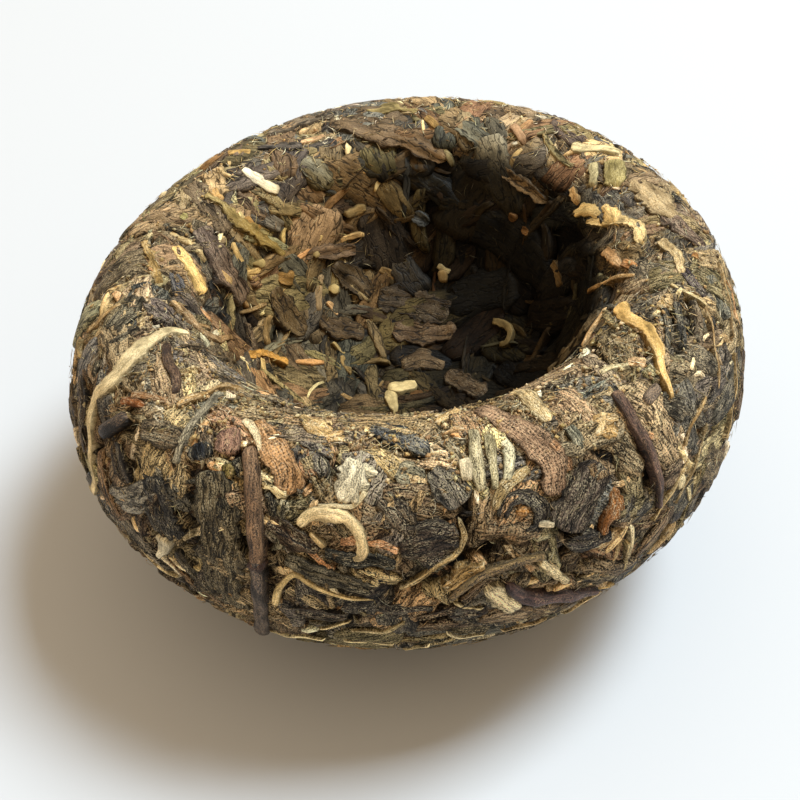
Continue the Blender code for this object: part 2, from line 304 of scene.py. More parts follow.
def inside_of(points):
    """Return how deep in the hollow points are: 0 on the rim, 1 below the upper wall."""
    bearings = np.arctan2(points[..., 1], points[..., 0])
    radius = np.hypot(points[..., 0], points[..., 1])
    edge = HOLLOW_EDGE + HOLLOW_EDGE_SWING * np.sin(bearings)
    above = np.clip((points[..., 2] - HOLLOW_FLOOR) / HOLLOW_FADE, 0, 1)
    return np.clip((edge - radius) / HOLLOW_FADE, 0, 1) * above


def downy_of(points):
    """Return how downy the leaves are: most on the front of the rim, least in the hollow."""
    share = np.clip(DOWN_SHARE - points[..., 1] / DOWN_REACH, *DOWN_LIMITS)
    return share * (1 - HOLLOW_BARENESS * inside_of(points))


def painted_light_of(points):
    """Return the painted light and shade: light on the rim, shade deep in the hollow and under it."""
    left = np.clip(-points[..., 0] / LEFT_REACH, -1, 1)
    hollow = 1.0 + inside_of(points) * (LEFT_WALL_PAINTED_LIGHT * left - HOLLOW_PAINTED_SHADE)
    front = np.clip(-points[..., 1] / FRONT_REACH, 0, 1)
    crest = 1 + (CREST_PAINTED_LIGHT + FRONT_CREST_PAINTED_LIGHT * front) * crest_of(points)
    belly = np.clip(BELLY_PAINTED_SHADE + points[..., 2] / BELLY_RISE, BELLY_PAINTED_SHADE, PAINTED_LIGHT_GAIN)
    return PAINTED_LIGHT_GAIN * np.clip(hollow, DARKEST, 1.0) * ((1 + FRONT_PAINTED_LIGHT * front) * crest) * belly


# A piece of the tea. Every kind becomes one smooth mesh, with a tint and marks at its points that
# the pattern of the leaves reads: how it is painted with light and shade (pale), where it is downy,
# how sunk it is, which is painted as shade, and where it is marked by the cloth.
WELD_DISTANCE = 1e-7


def weld(mesh):
    """Join points that lie on one another, so that the quads at poles and tips are triangles."""
    shape = bmesh.new()
    shape.from_mesh(mesh)
    bmesh.ops.remove_doubles(shape, verts=shape.verts, dist=WELD_DISTANCE)
    shape.to_mesh(mesh)
    shape.free()


def tea_mesh(name, points, faces, tints, leaf_uv, marks, material, pointed=False):
    """Make a smooth piece of the tea from arrays, in millimetres on the round body."""
    round_points = points.reshape(-1, 3)
    points = to_scene(round_points) * MM
    mesh = bpy.data.meshes.new(name)
    mesh.vertices.add(len(points))
    mesh.vertices.foreach_set("co", points.astype(np.float32).ravel())
    mesh.loops.add(faces.size)
    mesh.loops.foreach_set("vertex_index", faces.astype(np.int32).ravel())
    mesh.polygons.add(len(faces))
    sides = faces.shape[1]
    mesh.polygons.foreach_set("loop_start", np.arange(0, faces.size, sides, dtype=np.int32))
    mesh.update(calc_edges=True)
    layer = mesh.uv_layers.new(name="leaf")
    layer.data.foreach_set("uv", leaf_uv.reshape(-1, 2)[faces.ravel()].astype(np.float32).ravel())
    colour = mesh.color_attributes.new("tint", "FLOAT_COLOR", "POINT")
    # Painted warm shade: deep in the hollow the tints lose a little green and much blue.
    tints = tints.reshape(-1, 3) * (1 - inside_of(round_points)[:, None] * HOLLOW_PAINTED_SHADE_TINT)
    colour.data.foreach_set("color", np.column_stack([tints, np.ones(len(tints))])
                            .astype(np.float32).ravel())
    # The pale mark carries each point's painted light and shade.
    marks = {"crest": crest_of(round_points), "pale": painted_light_of(round_points),
             "downy": downy_of(round_points), **marks}
    for label, values in marks.items():
        mark = mesh.attributes.new(label, "FLOAT", "POINT")
        mark.data.foreach_set("value", values.astype(np.float32).ravel())
    mesh.shade_smooth()
    mesh.validate()
    if pointed:
        weld(mesh)
    piece = bpy.data.objects.new(name, mesh)
    bpy.context.scene.collection.objects.link(piece)
    mesh.materials.append(material)
    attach(piece, "root")
    return piece


# The dry leaf. One pattern of streaks, specks, creases and cloth threads for every kind, tinted
# leaf by leaf. A noise has its waves a millimetre along and across, its detail and its roughness.
BEND_SCALE = 0.7
BEND_DETAIL = 3.0
BEND_REACH = (0.7, 0.7, 0.0)
STREAK = (0.35, 2.2, 5.0, 0.75)
SPECK = (5.0, 6.5, 3.0, 0.7)
HAIR = (1.5, 8.0, 3.0, 0.7)
BLOTCH = (0.35, 0.5, 3.0, 0.6)
WIDE_CREASE = (0.16, 0.6, 2.0, 0.5)
FINE_CREASE = (0.3, 1.1, 2.0, 0.5)
WIDE_CREASE_WIDTH = 0.03
FINE_CREASE_WIDTH = 0.016
THREAD_TURN = 15.0
THREAD_DEPTH = 0.028
WORN_RANGE = (0.42, 0.55)
SHADE_RANGE = (0.4, 0.6)
PATCH_RANGE = (0.35, 0.6)
FIBRE_RANGE = (0.512, 0.58)
# Painted shade: how much sunk places and leaf edges, and creases, are darkened.
EDGE_PAINTED_SHADE = 0.93
CREASE_PAINTED_SHADE = 0.85
CREASE_DEPTH = 0.3
SMOOTHEST = 0.15
MIDDLE_TONE = 0.95
DARKEST_TONE = 0.04
BLOTCH_GAIN = 2.8
BLOTCH_OFFSET = -0.35
DARKEST_BLOTCH = 0.2
CREST_DOWN = 0.03


def fibre_group():
    """Make the pattern that all the leaves share, in millimetres of a leaf's own length and width.

    Long streaks run along the leaf, specks break them up, and where a leaf was pressed against
    the cloth its threads are marked in it. Pale fibres show where hair and speck are both high.
    """
    group = bpy.data.node_groups.new("tea fibres", "ShaderNodeTree")
    sockets = (("Tint", "NodeSocketColor"), ("Fibre", "NodeSocketColor"),
               ("Fibre Share", "NodeSocketFloat"), ("Contrast", "NodeSocketFloat"),
               ("Creases", "NodeSocketFloat"))
    for label, kind in sockets:
        group.interface.new_socket(label, in_out="INPUT", socket_type=kind)
    group.interface.new_socket("Color", in_out="OUTPUT", socket_type="NodeSocketColor")
    group.interface.new_socket("Height", in_out="OUTPUT", socket_type="NodeSocketFloat")
    nodes, links = group.nodes, group.links
    given = nodes.new("NodeGroupInput")
    result = nodes.new("NodeGroupOutput")

    def math_node(operation, *values):
        """Add a Math node on sockets or numbers and return its value."""
        node = nodes.new("ShaderNodeMath")
        node.operation = operation
        for socket, value in zip(node.inputs, values):
            if isinstance(value, (int, float)):
                socket.default_value = value
            else:
                links.new(value, socket)
        return node.outputs["Value"]

    def ramp(value, low, high):
        """Add a smooth step from low to high and return its value."""
        node = nodes.new("ShaderNodeMapRange")
        node.interpolation_type = "SMOOTHSTEP"
        node.inputs["From Min"].default_value = low
        node.inputs["From Max"].default_value = high
        links.new(value, node.inputs["Value"])
        return node.outputs["Result"]

    def mark(name):
        """Add an attribute of the mesh and return its value."""
        node = nodes.new("ShaderNodeAttribute")
        node.attribute_name = name
        return node.outputs["Fac"]

    def scaled_by(colour, factor):
        """Add a product of a colour and a value and return it."""
        node = nodes.new("ShaderNodeVectorMath")
        node.operation = "SCALE"
        links.new(colour, node.inputs[0])
        links.new(factor, node.inputs["Scale"])
        return node.outputs["Vector"]

    uv = nodes.new("ShaderNodeUVMap")
    uv.uv_map = "leaf"
    bend = nodes.new("ShaderNodeTexNoise")
    bend.inputs["Scale"].default_value = BEND_SCALE
    bend.inputs["Detail"].default_value = BEND_DETAIL
    links.new(uv.outputs["UV"], bend.inputs["Vector"])
    wavy = nodes.new("ShaderNodeVectorMath")
    wavy.operation = "MULTIPLY_ADD"
    links.new(bend.outputs["Color"], wavy.inputs[0])
    wavy.inputs[1].default_value = BEND_REACH
    links.new(uv.outputs["UV"], wavy.inputs[2])

    def noise(along, across, detail, roughness):
        """Add a noise, stretched on the wavy leaf coordinates, and return its value."""
        stretched = nodes.new("ShaderNodeMapping")
        stretched.inputs["Scale"].default_value = (along, across, 1.0)
        links.new(wavy.outputs["Vector"], stretched.inputs["Vector"])
        node = nodes.new("ShaderNodeTexNoise")
        node.inputs["Scale"].default_value = 1.0
        node.inputs["Detail"].default_value = detail
        node.inputs["Roughness"].default_value = roughness
        links.new(stretched.outputs["Vector"], node.inputs["Vector"])
        return node.outputs["Fac"]

    def crease(pattern, width):
        """Add thin winding lines, where a noise passes its middle, and return them as 1 on 0."""
        level = math_node("SUBTRACT", noise(*pattern), 0.5)
        return ramp(math_node("ABSOLUTE", level), width, 0.0)

    def mean(first, second):
        """Add the mean of two values and return it."""
        return math_node("MULTIPLY_ADD", first, 0.5, math_node("MULTIPLY", second, 0.5))

    streak, speck, hair, blotch = (noise(*pattern) for pattern in (STREAK, SPECK, HAIR, BLOTCH))
    folds = math_node("MAXIMUM", crease(WIDE_CREASE, WIDE_CREASE_WIDTH),
                      crease(FINE_CREASE, FINE_CREASE_WIDTH))
    folds = math_node("MULTIPLY", folds, given.outputs["Creases"])

    threads = nodes.new("ShaderNodeSeparateXYZ")
    links.new(uv.outputs["UV"], threads.inputs["Vector"])
    warp = math_node("SINE", math_node("MULTIPLY", threads.outputs["X"], THREAD_TURN))
    weft = math_node("SINE", math_node("MULTIPLY", threads.outputs["Y"], THREAD_TURN))
    worn = math_node("MULTIPLY", ramp(blotch, *WORN_RANGE), mark("cloth"))
    weave = math_node("MULTIPLY", math_node("ADD", warp, weft), THREAD_DEPTH)
    weave = math_node("MULTIPLY", weave, worn)

    relief = math_node("ADD", mean(streak, speck), weave)
    near = mark("downy")
    rough = math_node("MULTIPLY_ADD", near, 1 - SMOOTHEST, SMOOTHEST)
    shade = ramp(relief, *SHADE_RANGE)
    shade = math_node("MULTIPLY_ADD", math_node("SUBTRACT", shade, 0.5), rough, 0.5)
    # Painted shade: darker where the sunk mark is high, at leaf edges and sunk places, and in creases.
    painted_shade = math_node("MULTIPLY_ADD", mark("sunk"), -EDGE_PAINTED_SHADE, 1.0)
    painted_shade = math_node("MULTIPLY", painted_shade, math_node("MULTIPLY_ADD", folds, -CREASE_PAINTED_SHADE, 1.0))
    swing = math_node("SUBTRACT", shade, 0.5)
    tone = math_node("MULTIPLY_ADD", swing, given.outputs["Contrast"], MIDDLE_TONE)
    blotched = math_node("MULTIPLY_ADD", blotch, BLOTCH_GAIN, BLOTCH_OFFSET)
    blotched = math_node("MAXIMUM", blotched, DARKEST_BLOTCH)
    tone = math_node("MULTIPLY", math_node("MULTIPLY", tone, painted_shade), blotched)
    # Painted light and shade from the pale mark: above 1 it lifts the tone here, below 1 it darkens the
    # colour at the end.
    pale = mark("pale")
    tone = math_node("MULTIPLY", tone, math_node("MAXIMUM", pale, 1.0))
    tone = math_node("MAXIMUM", tone, DARKEST_TONE)
    share = math_node("MULTIPLY", given.outputs["Fibre Share"], painted_shade)
    patchy = math_node("MULTIPLY", share, ramp(blotch, *PATCH_RANGE))
    downy = math_node("MULTIPLY_ADD", mark("crest"), CREST_DOWN, mean(hair, speck))
    fibres = math_node("MULTIPLY", ramp(downy, *FIBRE_RANGE), math_node("MULTIPLY", patchy, near))
    blend = nodes.new("ShaderNodeMix")
    blend.data_type = "RGBA"
    links.new(fibres, blend.inputs["Factor"])
    links.new(scaled_by(given.outputs["Tint"], tone), blend.inputs[6])
    links.new(given.outputs["Fibre"], blend.inputs[7])
    # Painted shade: the whole colour is darkened where the pale mark is below 1.
    deep = scaled_by(blend.outputs[2], math_node("MINIMUM", pale, 1.0))
    links.new(deep, result.inputs["Color"])
    dented = math_node("MULTIPLY", math_node("MULTIPLY_ADD", folds, -CREASE_DEPTH, relief), rough)
    links.new(dented, result.inputs["Height"])
    return group


FIBRES = fibre_group()


def tea_material(name, fibre, fibre_share, contrast, roughness, bump=0.0005, gloss=0.1,
                 creases=1.0):
    """Make a dry leaf material: its tint attribute, streaked and specked by the fibre pattern."""
    material = bpy.data.materials.new(name)
    material.use_nodes = True
    nodes, links = material.node_tree.nodes, material.node_tree.links
    shader = nodes["Principled BSDF"]
    shader.inputs["Roughness"].default_value = roughness
    shader.inputs["Specular IOR Level"].default_value = gloss
    tint = nodes.new("ShaderNodeAttribute")
    tint.attribute_name = "tint"
    pattern = nodes.new("ShaderNodeGroup")
    pattern.node_tree = FIBRES
    pattern.inputs["Fibre"].default_value = (*fibre, 1.0)
    pattern.inputs["Fibre Share"].default_value = fibre_share
    pattern.inputs["Contrast"].default_value = contrast
    pattern.inputs["Creases"].default_value = creases
    links.new(tint.outputs["Color"], pattern.inputs["Tint"])
    links.new(pattern.outputs["Color"], shader.inputs["Base Color"])
    dent = nodes.new("ShaderNodeBump")
    dent.inputs["Distance"].default_value = bump
    links.new(pattern.outputs["Height"], dent.inputs["Height"])
    links.new(dent.outputs["Normal"], shader.inputs["Normal"])
    return material


# The dark mass. What shows between the leaves: the section turned round, raised by small tilted
# plates of crushed leaf and sunk a little, so that the leaves lie in it. It replaces the CAD solid.
# Its crushed-leaf tints are kept darker than the leaves as painted shade in the gaps.
BODY_ROWS = 230
BODY_COLUMNS = 330
BODY_SINK = 1.8
FOOT_SINK_SHARE = 0.5
FOOT_FADE = 5.0
GAP_LEVEL = -0.4
LUMP_COUNT = 900
LUMP_RADIUS = 2.6
LUMP_RISE = 0.7
LUMP_TILT = 0.25
# Crushed leaf, darker than the leaves as painted shade in the gaps.
BODY_TINTS = [srgb(46, 37, 30), srgb(66, 50, 36), srgb(38, 35, 33), srgb(84, 64, 42)]


def lumpy_body():
    """Return the dark mass: the section turned round, raised by small tilted plates of leaf."""
    rng = np.random.default_rng(3)
    arcs = np.linspace(0.0, ARCS[-1], BODY_ROWS)
    bearings = np.linspace(-math.pi, math.pi, BODY_COLUMNS, endpoint=False)
    bearings, arcs = (grid.ravel() for grid in np.meshgrid(bearings, arcs))
    points, normals = on_body(bearings, arcs)
    spots, spot_arcs = spread(LUMP_COUNT, 0.0, FOOT_ARC, rng)
    middles, alongs, _ = frames_at(spots, spot_arcs, rng.uniform(0, 2 * math.pi, LUMP_COUNT))
    heights = np.zeros(len(points))
    tints = np.tile(BODY_TINTS[0], (len(points), 1))
    for middle, along in zip(middles, alongs):
        near = np.flatnonzero(np.abs(points - middle).max(axis=1) < LUMP_RADIUS)
        off = points[near] - middle
        far = (off ** 2).sum(axis=1) / LUMP_RADIUS ** 2
        rise = (LUMP_RISE + LUMP_TILT * (off @ along)) * np.clip(4 - 4 * far, 0, 1)
        higher = rise > heights[near]
        heights[near[higher]] = rise[higher]
        tints[near[higher]] = BODY_TINTS[rng.integers(len(BODY_TINTS))]
    fade = np.clip((FOOT_ARC - arcs) / FOOT_FADE, FOOT_SINK_SHARE, 1.0)
    heights = (heights - BODY_SINK) * fade
    places = points + normals * heights[:, None]
    uv = np.column_stack([bearings * WIDTH / 2, arcs])
    faces = grid_faces(1, BODY_ROWS, BODY_COLUMNS, closed=True)
    # The sunk mark paints shade on the mass where it lies deep in the gaps.
    marks = {"cloth": np.zeros(len(places)), "sunk": np.clip(GAP_LEVEL - heights, 0, 1)}
    return tea_mesh("pressed_body", places, faces, tints, uv, marks,
                    tea_material("crushed leaf", srgb(150, 120, 80), 0.4, 1.2, 0.85), pointed=True)


body = lumpy_body()
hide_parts("tuocha")


# The gaps. Dark seams where two leaves meet, each along the pixels of its line: the scattered
# leaves sink there, and sinking darkens them as painted shade. The plain body is cast on to find
# the place behind a pixel.
SHELL_ROWS = 160
SHELL_COLUMNS = 240


def smooth_shell():
    """Return a ray caster on the plain body, as it stands in the scene."""
    arcs = np.linspace(0.0, ARCS[-1], SHELL_ROWS)
    bearings = np.linspace(-math.pi, math.pi, SHELL_COLUMNS, endpoint=False)
    bearings, arcs = np.meshgrid(bearings, arcs)
    points, _ = on_body(bearings, arcs)
    faces = grid_faces(1, SHELL_ROWS, SHELL_COLUMNS, closed=True)
    return BVHTree.FromPolygons(to_scene(points.reshape(-1, 3)).tolist(), faces.tolist())


SHELL = smooth_shell()


def at_pixels(pixels):
    """Return the points of the round body behind pixels, or the nearest to a line that misses."""
    eye = Vector(CAMERA_PLACE)
    places = []
    for line in sight_lines(pixels):
        hit = SHELL.ray_cast(eye, Vector(line))[0]
        if hit is None:
            hit = SHELL.find_nearest(eye + Vector(line) * CAMERA_DISTANCE)[0]
        places.append(tuple(hit))
    return from_scene(np.array(places))


GROOVES = [
    [(160, 325), (178, 329)], [(234, 455), (240, 480)], [(110, 431), (130, 426)],
    [(89, 390), (92, 410)], [(630, 412), (648, 455), (655, 472)], [(468, 556), (506, 540)],
    [(646, 322), (652, 352), (664, 386)], [(392, 594), (440, 582), (466, 558), (470, 530)],
    [(266, 545), (270, 600)], [(130, 470), (152, 530), (160, 545)], [(598, 452), (610, 458)],
    [(322, 452), (330, 476), (318, 492)], [(470, 442), (476, 470)], [(500, 420), (540, 462)],
    [(556, 520), (600, 566)], [(192, 470), (190, 540)], [(672, 300), (676, 350)],
    [(688, 300), (692, 348)], [(330, 126), (380, 142), (430, 160)], [(372, 440), (432, 458)],
    [(500, 590), (560, 602), (600, 592)], [(640, 500), (660, 470)], [(140, 360), (120, 400)],
    [(205, 300), (236, 330)], [(560, 236), (600, 236)], [(176, 436), (204, 400)],
]
GROOVE_DEPTH = 1.5
GROOVE_WIDTH = 0.75
GROOVE_STEP = 0.5
GROOVE_REACH = 2.0


def groove_line(pixels):
    """Return evenly stepped points along a gap between leaves."""
    knots = at_pixels(pixels)
    run = run_along(knots)
    return points_along(np.arange(0.0, run[-1], GROOVE_STEP), run, knots)


GROOVE_LINES = [groove_line(pixels) for pixels in GROOVES]


def grooved(points):
    """Return how far points sink into the gaps, deepest on a gap's line and none beside it."""
    flat = points.reshape(-1, 3)
    depth = np.zeros(len(flat))
    for line in GROOVE_LINES:
        reach = np.ptp(line, axis=0).max() + GROOVE_REACH
        close = np.flatnonzero(np.abs(flat - line.mean(axis=0)).max(axis=1) < reach)
        far = np.linalg.norm(flat[close][:, None] - line[None], axis=2).min(axis=1)
        depth[close] = np.maximum(depth[close], GROOVE_DEPTH * np.exp(-(far / GROOVE_WIDTH) ** 2))
    return depth.reshape(points.shape[:-1])


# The leaves. Whole and broken leaves, steamed soft and squeezed flat against one another and the
# cloth, so each is a thin sheet that follows the body, folded along its length, with torn edges.
LEAF_ROWS = 9
LEAF_ACROSS = np.array([-1.0, -0.93, -0.72, -0.35, 0.0, 0.35, 0.72, 0.93, 1.0])
LEAF_TOP = 0.35
ROW_CROWDING = 0.75
BLUNTNESS = (1.3, 4.0)
TIP_POWER = 0.6
TIP_WIDTH = 0.1
TEAR = 0.2
BEND = 0.3
BEND_MIDDLE = 0.4
FOLD_WAVES = (1.5, 4.5)
RIPPLE = 0.15
RIPPLE_TURN = 3.1
EDGE_START = 0.86
EDGE_POWER = 1.5
TIP_START = 0.9
DEEPEST_DIVE = 1.2
EDGE_DROP = 1.1
DRAPE_POWER = 8
# Painted shade: leaf edges, and places sunk below the sunk level, are darkened through the sunk mark.
SHADE_START = 0.75
EDGE_SHADE = 0.8
SUNK_LEVEL = -0.25
SUNK_DEPTH = 0.8
HUE_STRAY = 0.06
ALL_OVER = (0.0, FOOT_ARC - 3.0)
RIM_ARCS = (36.0, 54.0)
FOOT_ARCS = (FOOT_ARC - 4.0, ARCS[-1] - 0.5)


def press_leaves(rng, bearings, arcs, lengths, widths, lifts, tilts, folds):
    """Return grids of leaves laid on the body, with their own length and width in millimetres.

    A leaf is middle + u * length + v * width, bent to one side as u squared, with a torn outline.
    Its height is lift + tilt across + folds as a wave across, and its edges dive under.
    """
    count = len(bearings)
    headings = rng.uniform(0, 2 * math.pi, count)
    middles, along, across = frames_at(bearings, arcs, headings)
    u = np.linspace(-1.0, 1.0, LEAF_ROWS)
    u = (np.sign(u) * np.abs(u) ** ROW_CROWDING)[None, :, None]
    v = LEAF_ACROSS[None, None, :]
    lengths, widths, lifts, tilts, folds = (values[:, None, None]
                                            for values in (lengths, widths, lifts, tilts, folds))
    blunt = rng.uniform(*BLUNTNESS, (count, 1, 1))
    outline = np.clip(1 - np.abs(u) ** blunt, 0, 1) ** TIP_POWER * (1 - TIP_WIDTH) + TIP_WIDTH
    torn = 1 + rng.uniform(-TEAR, TEAR, (count, LEAF_ROWS, 2))
    side = np.where(v < 0, torn[:, :, :1], torn[:, :, 1:])
    bend = rng.uniform(-BEND, BEND, (count, 1, 1))
    run = u * lengths / 2
    off = v * widths / 2 * outline * side + bend * (u ** 2 - BEND_MIDDLE) * lengths / 2
    wave = rng.uniform(*FOLD_WAVES, (count, 1, 1))
    phase = rng.uniform(0, 2 * math.pi, (count, 1, 1))
    heights = lifts + tilts * v * widths / 2 + folds * (1 - 2 * np.abs(np.sin(wave * v + phase + u)))
    heights = heights + RIPPLE * np.sin(RIPPLE_TURN * u + phase * 3)
    dive = beyond(v, EDGE_START) ** EDGE_POWER + beyond(u, TIP_START)
    heights = np.minimum(heights, LEAF_TOP) - EDGE_DROP * np.minimum(dive, DEEPEST_DIVE)
    flat = (middles[:, None, None] + run[..., None] * along[:, None, None]
            + off[..., None] * across[:, None, None])
    heights = heights - grooved(flat)
    slide = np.sin(headings)[:, None, None] * run - np.cos(headings)[:, None, None] * off
    points = lay(flat, heights, np.clip(arcs[:, None, None] + slide, 0, ARCS[-1]))
    stray = rng.uniform(0, UV_STRAY, (count, 1, 1, 2))
    fallen = lifts - heights
    uv = np.stack([run + np.sign(u) * u ** DRAPE_POWER * fallen,
                   off + np.sign(v) * v ** DRAPE_POWER * fallen], axis=-1)
    return points, uv + stray, heights


def pick_tints(rng, count, palette, jitter):
    """Return one linear colour for each leaf, drawn by weight, with its lightness varied."""
    colours = np.array([srgb(*colour) for colour, _ in palette])
    weights = np.array([weight for _, weight in palette], float)
    chosen = colours[rng.choice(len(palette), count, p=weights / weights.sum())]
    chosen = chosen * rng.uniform(1 - jitter, 1 + jitter, (count, 1))
    return chosen * rng.uniform(1 - HUE_STRAY, 1 + HUE_STRAY, (count, 3))


def leaf_kind(name, seed, count, length, width, palette, material, lift=(-1.1, 0.2),
              tilt=0.12, fold=0.22, cloth=0.4, jitter=0.45, arcs=ALL_OVER):
    """Make one kind of leaf, scattered evenly between two arcs, as one joined piece."""
    rng = np.random.default_rng(seed)
    bearings, arcs = spread(count, *arcs, rng)
    points, uv, heights = press_leaves(
        rng, bearings, arcs, rng.uniform(*length, count), rng.uniform(*width, count),
        rng.uniform(*lift, count), rng.uniform(-tilt, tilt, count), rng.uniform(0, fold, count))
    rows, columns = points.shape[1:3]
    tints = np.repeat(pick_tints(rng, count, palette, jitter), rows * columns, axis=0)
    threads = np.repeat((rng.uniform(0, 1, count) < cloth) * rng.uniform(0.5, 1, count),
                        rows * columns)
    # Painted shade along the outer edges of each leaf and where it dives under the others.
    edges = beyond(LEAF_ACROSS, SHADE_START) * EDGE_SHADE
    sunk = np.maximum(np.clip(SUNK_LEVEL - heights, 0, SUNK_DEPTH) / SUNK_DEPTH, edges)
    marks = {"cloth": threads, "sunk": sunk}
    tea_mesh(name, points, grid_faces(count, rows, columns), tints, uv, marks, material)


CHARCOAL = [((94, 88, 78), 4), ((70, 62, 53), 4), ((120, 112, 96), 2), ((86, 84, 79), 1)]
UMBER = [((121, 98, 72), 4), ((94, 77, 58), 3), ((152, 130, 98), 2.5), ((134, 103, 74), 1),
         ((152, 118, 80), 0.8)]
OLIVE = [((139, 122, 86), 3), ((115, 101, 72), 3), ((164, 145, 104), 2), ((126, 118, 94), 1.5)]
OCHRE = [((208, 176, 124), 3), ((184, 152, 104), 3), ((224, 200, 154), 2.5), ((182, 138, 92), 1),
         ((216, 202, 168), 1.5)]
RIM = [((142, 117, 82), 3), ((120, 100, 74), 3), ((102, 87, 69), 3), ((170, 143, 100), 1.2),
       ((90, 80, 68), 2.5), ((126, 96, 68), 1.2)]

dark_leaf = tea_material("dark leaf", srgb(204, 190, 156), 0.65, 1.7, 0.5, gloss=0.15)
brown_leaf = tea_material("brown leaf", srgb(216, 194, 152), 0.7, 1.7, 0.6)
olive_leaf = tea_material("olive leaf", srgb(218, 200, 158), 0.7, 1.7, 0.65)
pale_strip = tea_material("straw strip", srgb(240, 226, 188), 0.6, 1.0, 0.7, bump=0.0003, creases=0.5)

leaf_kind("dark_leaves", 21, 560, (5, 14), (2.8, 7.0), CHARCOAL, dark_leaf, cloth=0.6)
leaf_kind("brown_leaves", 22, 600, (5, 14), (2.2, 6.0), UMBER, brown_leaf, cloth=0.5)
leaf_kind("olive_leaves", 23, 520, (4, 12), (1.5, 4.5), OLIVE, olive_leaf, cloth=0.4)
leaf_kind("twisted_leaves", 25, 480, (5, 13), (0.9, 2.2), UMBER + CHARCOAL + OLIVE, brown_leaf,
          lift=(-0.5, 0.25), fold=0.35, cloth=0.0)
leaf_kind("wide_leaves", 26, 200, (9, 18), (4.5, 8.5), CHARCOAL + UMBER + OLIVE, brown_leaf,
          lift=(-0.5, 0.3), tilt=0.08, fold=0.25, cloth=0.7)
leaf_kind("rim_leaves", 27, 260, (6, 14), (2.4, 5.5), RIM, brown_leaf, lift=(-0.5, 0.3),
          tilt=0.1, fold=0.2, cloth=0.5, arcs=RIM_ARCS)
leaf_kind("foot_leaves", 28, 70, (5, 12), (2.2, 5.5), CHARCOAL + UMBER + OLIVE, brown_leaf,
          lift=(-0.8, -0.2), tilt=0.05, fold=0.12, cloth=0.5, arcs=FOOT_ARCS)
leaf_kind("ochre_strips", 24, 800, (2.5, 8), (0.5, 1.5), OCHRE, pale_strip,
          lift=(-0.5, 0.2), tilt=0.2, fold=0.06, cloth=0.0)


# The pieces that stand out. Buds, stems, strips and broad leaves on top of the rest, each placed
# by the pixels along its middle and its widths there, pressed in so that only its edges go under.
PIECE_COLUMNS = 13
ACROSS = np.sin(np.linspace(-math.pi / 2, math.pi / 2, PIECE_COLUMNS))
STEP_LENGTH = 0.35
LEAST_STEPS = 8
TIP_REACH = 0.8
TIP_AREA = 0.02
TEAR_STEPS = 4
FINE_TEAR = 0.5
WIDEST_ARCH = 1.6
SWELL = 0.1
SWELL_TURN = 1.3
RIB_TURN = 4.0
RIB_WANDER = (0.6, 0.7)
OUTER_EDGE = 0.98
END_REACH = 0.01
# Where the painted shade along a piece's edges begins.
DARK_EDGE = 0.85
COLOUR_STRAY = 0.08


def smooth_route(knots, steps):
    """Return even steps of the smooth curve through knots, and how far along steps and knots are."""
    run = run_along(knots)
    pull = np.gradient(knots, run, axis=0)
    way = np.linspace(0.0, run[-1], steps)
    leg = np.clip(np.searchsorted(run, way, "right") - 1, 0, len(run) - 2)
    size = (run[leg + 1] - run[leg])[:, None]
    t = (way - run[leg])[:, None] / size
    curve = ((2 * t ** 3 - 3 * t ** 2 + 1) * knots[leg] + (t ** 3 - 2 * t ** 2 + t) * size * pull[leg]
             + (3 * t ** 2 - 2 * t ** 3) * knots[leg + 1] + (t ** 3 - t ** 2) * size * pull[leg + 1])
    return curve, way, run


def press_piece(rng, pixels, widths, lift, thick, ragged, ribs, drop):
    """Return the grid of one piece: its middle line, swept by a low arch with ribs along it."""
    knots = at_pixels(pixels)
    far = np.linalg.norm(to_scene(knots) - CAMERA_PLACE, axis=1)
    widths = np.broadcast_to(widths, len(knots)) * far / FOCAL_PIXELS
    length = np.linalg.norm(np.diff(knots, axis=0), axis=1).sum()
    steps = max(LEAST_STEPS, int(length / STEP_LENGTH))
    middle, way, run = smooth_route(knots, steps)
    ends = np.minimum(way, way[-1] - way)
    half = np.interp(way, run, widths) / 2
    half = half * np.sqrt(np.clip(ends / np.minimum(half, TIP_REACH), TIP_AREA, 1))
    gaps = ((middle[:, None, 2] - SECTION[None, :, 1]) ** 2
            + (np.hypot(middle[:, 0], middle[:, 1])[:, None] - SECTION[None, :, 0]) ** 2)
    arcs = ARCS[gaps.argmin(axis=1)]
    bearings = np.arctan2(middle[:, 1], middle[:, 0])
    _, normals = on_body(bearings, arcs)
    along = np.gradient(middle, axis=0)
    across = np.cross(normals, along)
    across /= np.linalg.norm(across, axis=1)[:, None]
    coarse = rng.uniform(-1, 1, (steps // TEAR_STEPS + 2, 2))
    torn = points_along(np.arange(steps) / TEAR_STEPS, np.arange(len(coarse)), coarse)
    torn = 1 + ragged * (torn + FINE_TEAR * rng.uniform(-1, 1, (steps, 2)))
    side = np.where(ACROSS < 0, torn[:, :1], torn[:, 1:])
    off = ACROSS * half[:, None] * side
    arch = np.sqrt(np.clip(1 - ACROSS ** 2, 0, 1)) * np.minimum(half[:, None], WIDEST_ARCH)
    heights = lift + thick * arch + SWELL * np.sin(way * SWELL_TURN + rng.uniform(0, 6))[:, None]
    wander = RIB_WANDER[0] * np.sin(way * RIB_WANDER[1])[:, None]
    heights = heights + ribs * np.sin(off * RIB_TURN + rng.uniform(0, 6) + wander)
    heights = heights - drop * ((np.abs(ACROSS) > OUTER_EDGE) | (ends < END_REACH)[:, None])
    flat = middle[:, None] + off[..., None] * across[:, None]
    guess = arcs[:, None] + off * (across[:, None] * slope_at(bearings, arcs)[:, None]).sum(axis=2)
    uv = np.stack([way[:, None] + 0 * off, off + ACROSS ** 9 * drop], axis=-1)
    uv = uv + rng.uniform(0, UV_STRAY, 2)
    # Painted shade along the piece's edges.
    edges = beyond(ACROSS, DARK_EDGE) * EDGE_SHADE + 0 * off
    return lay(flat, heights, np.clip(guess, 0, ARCS[-1])), uv, edges


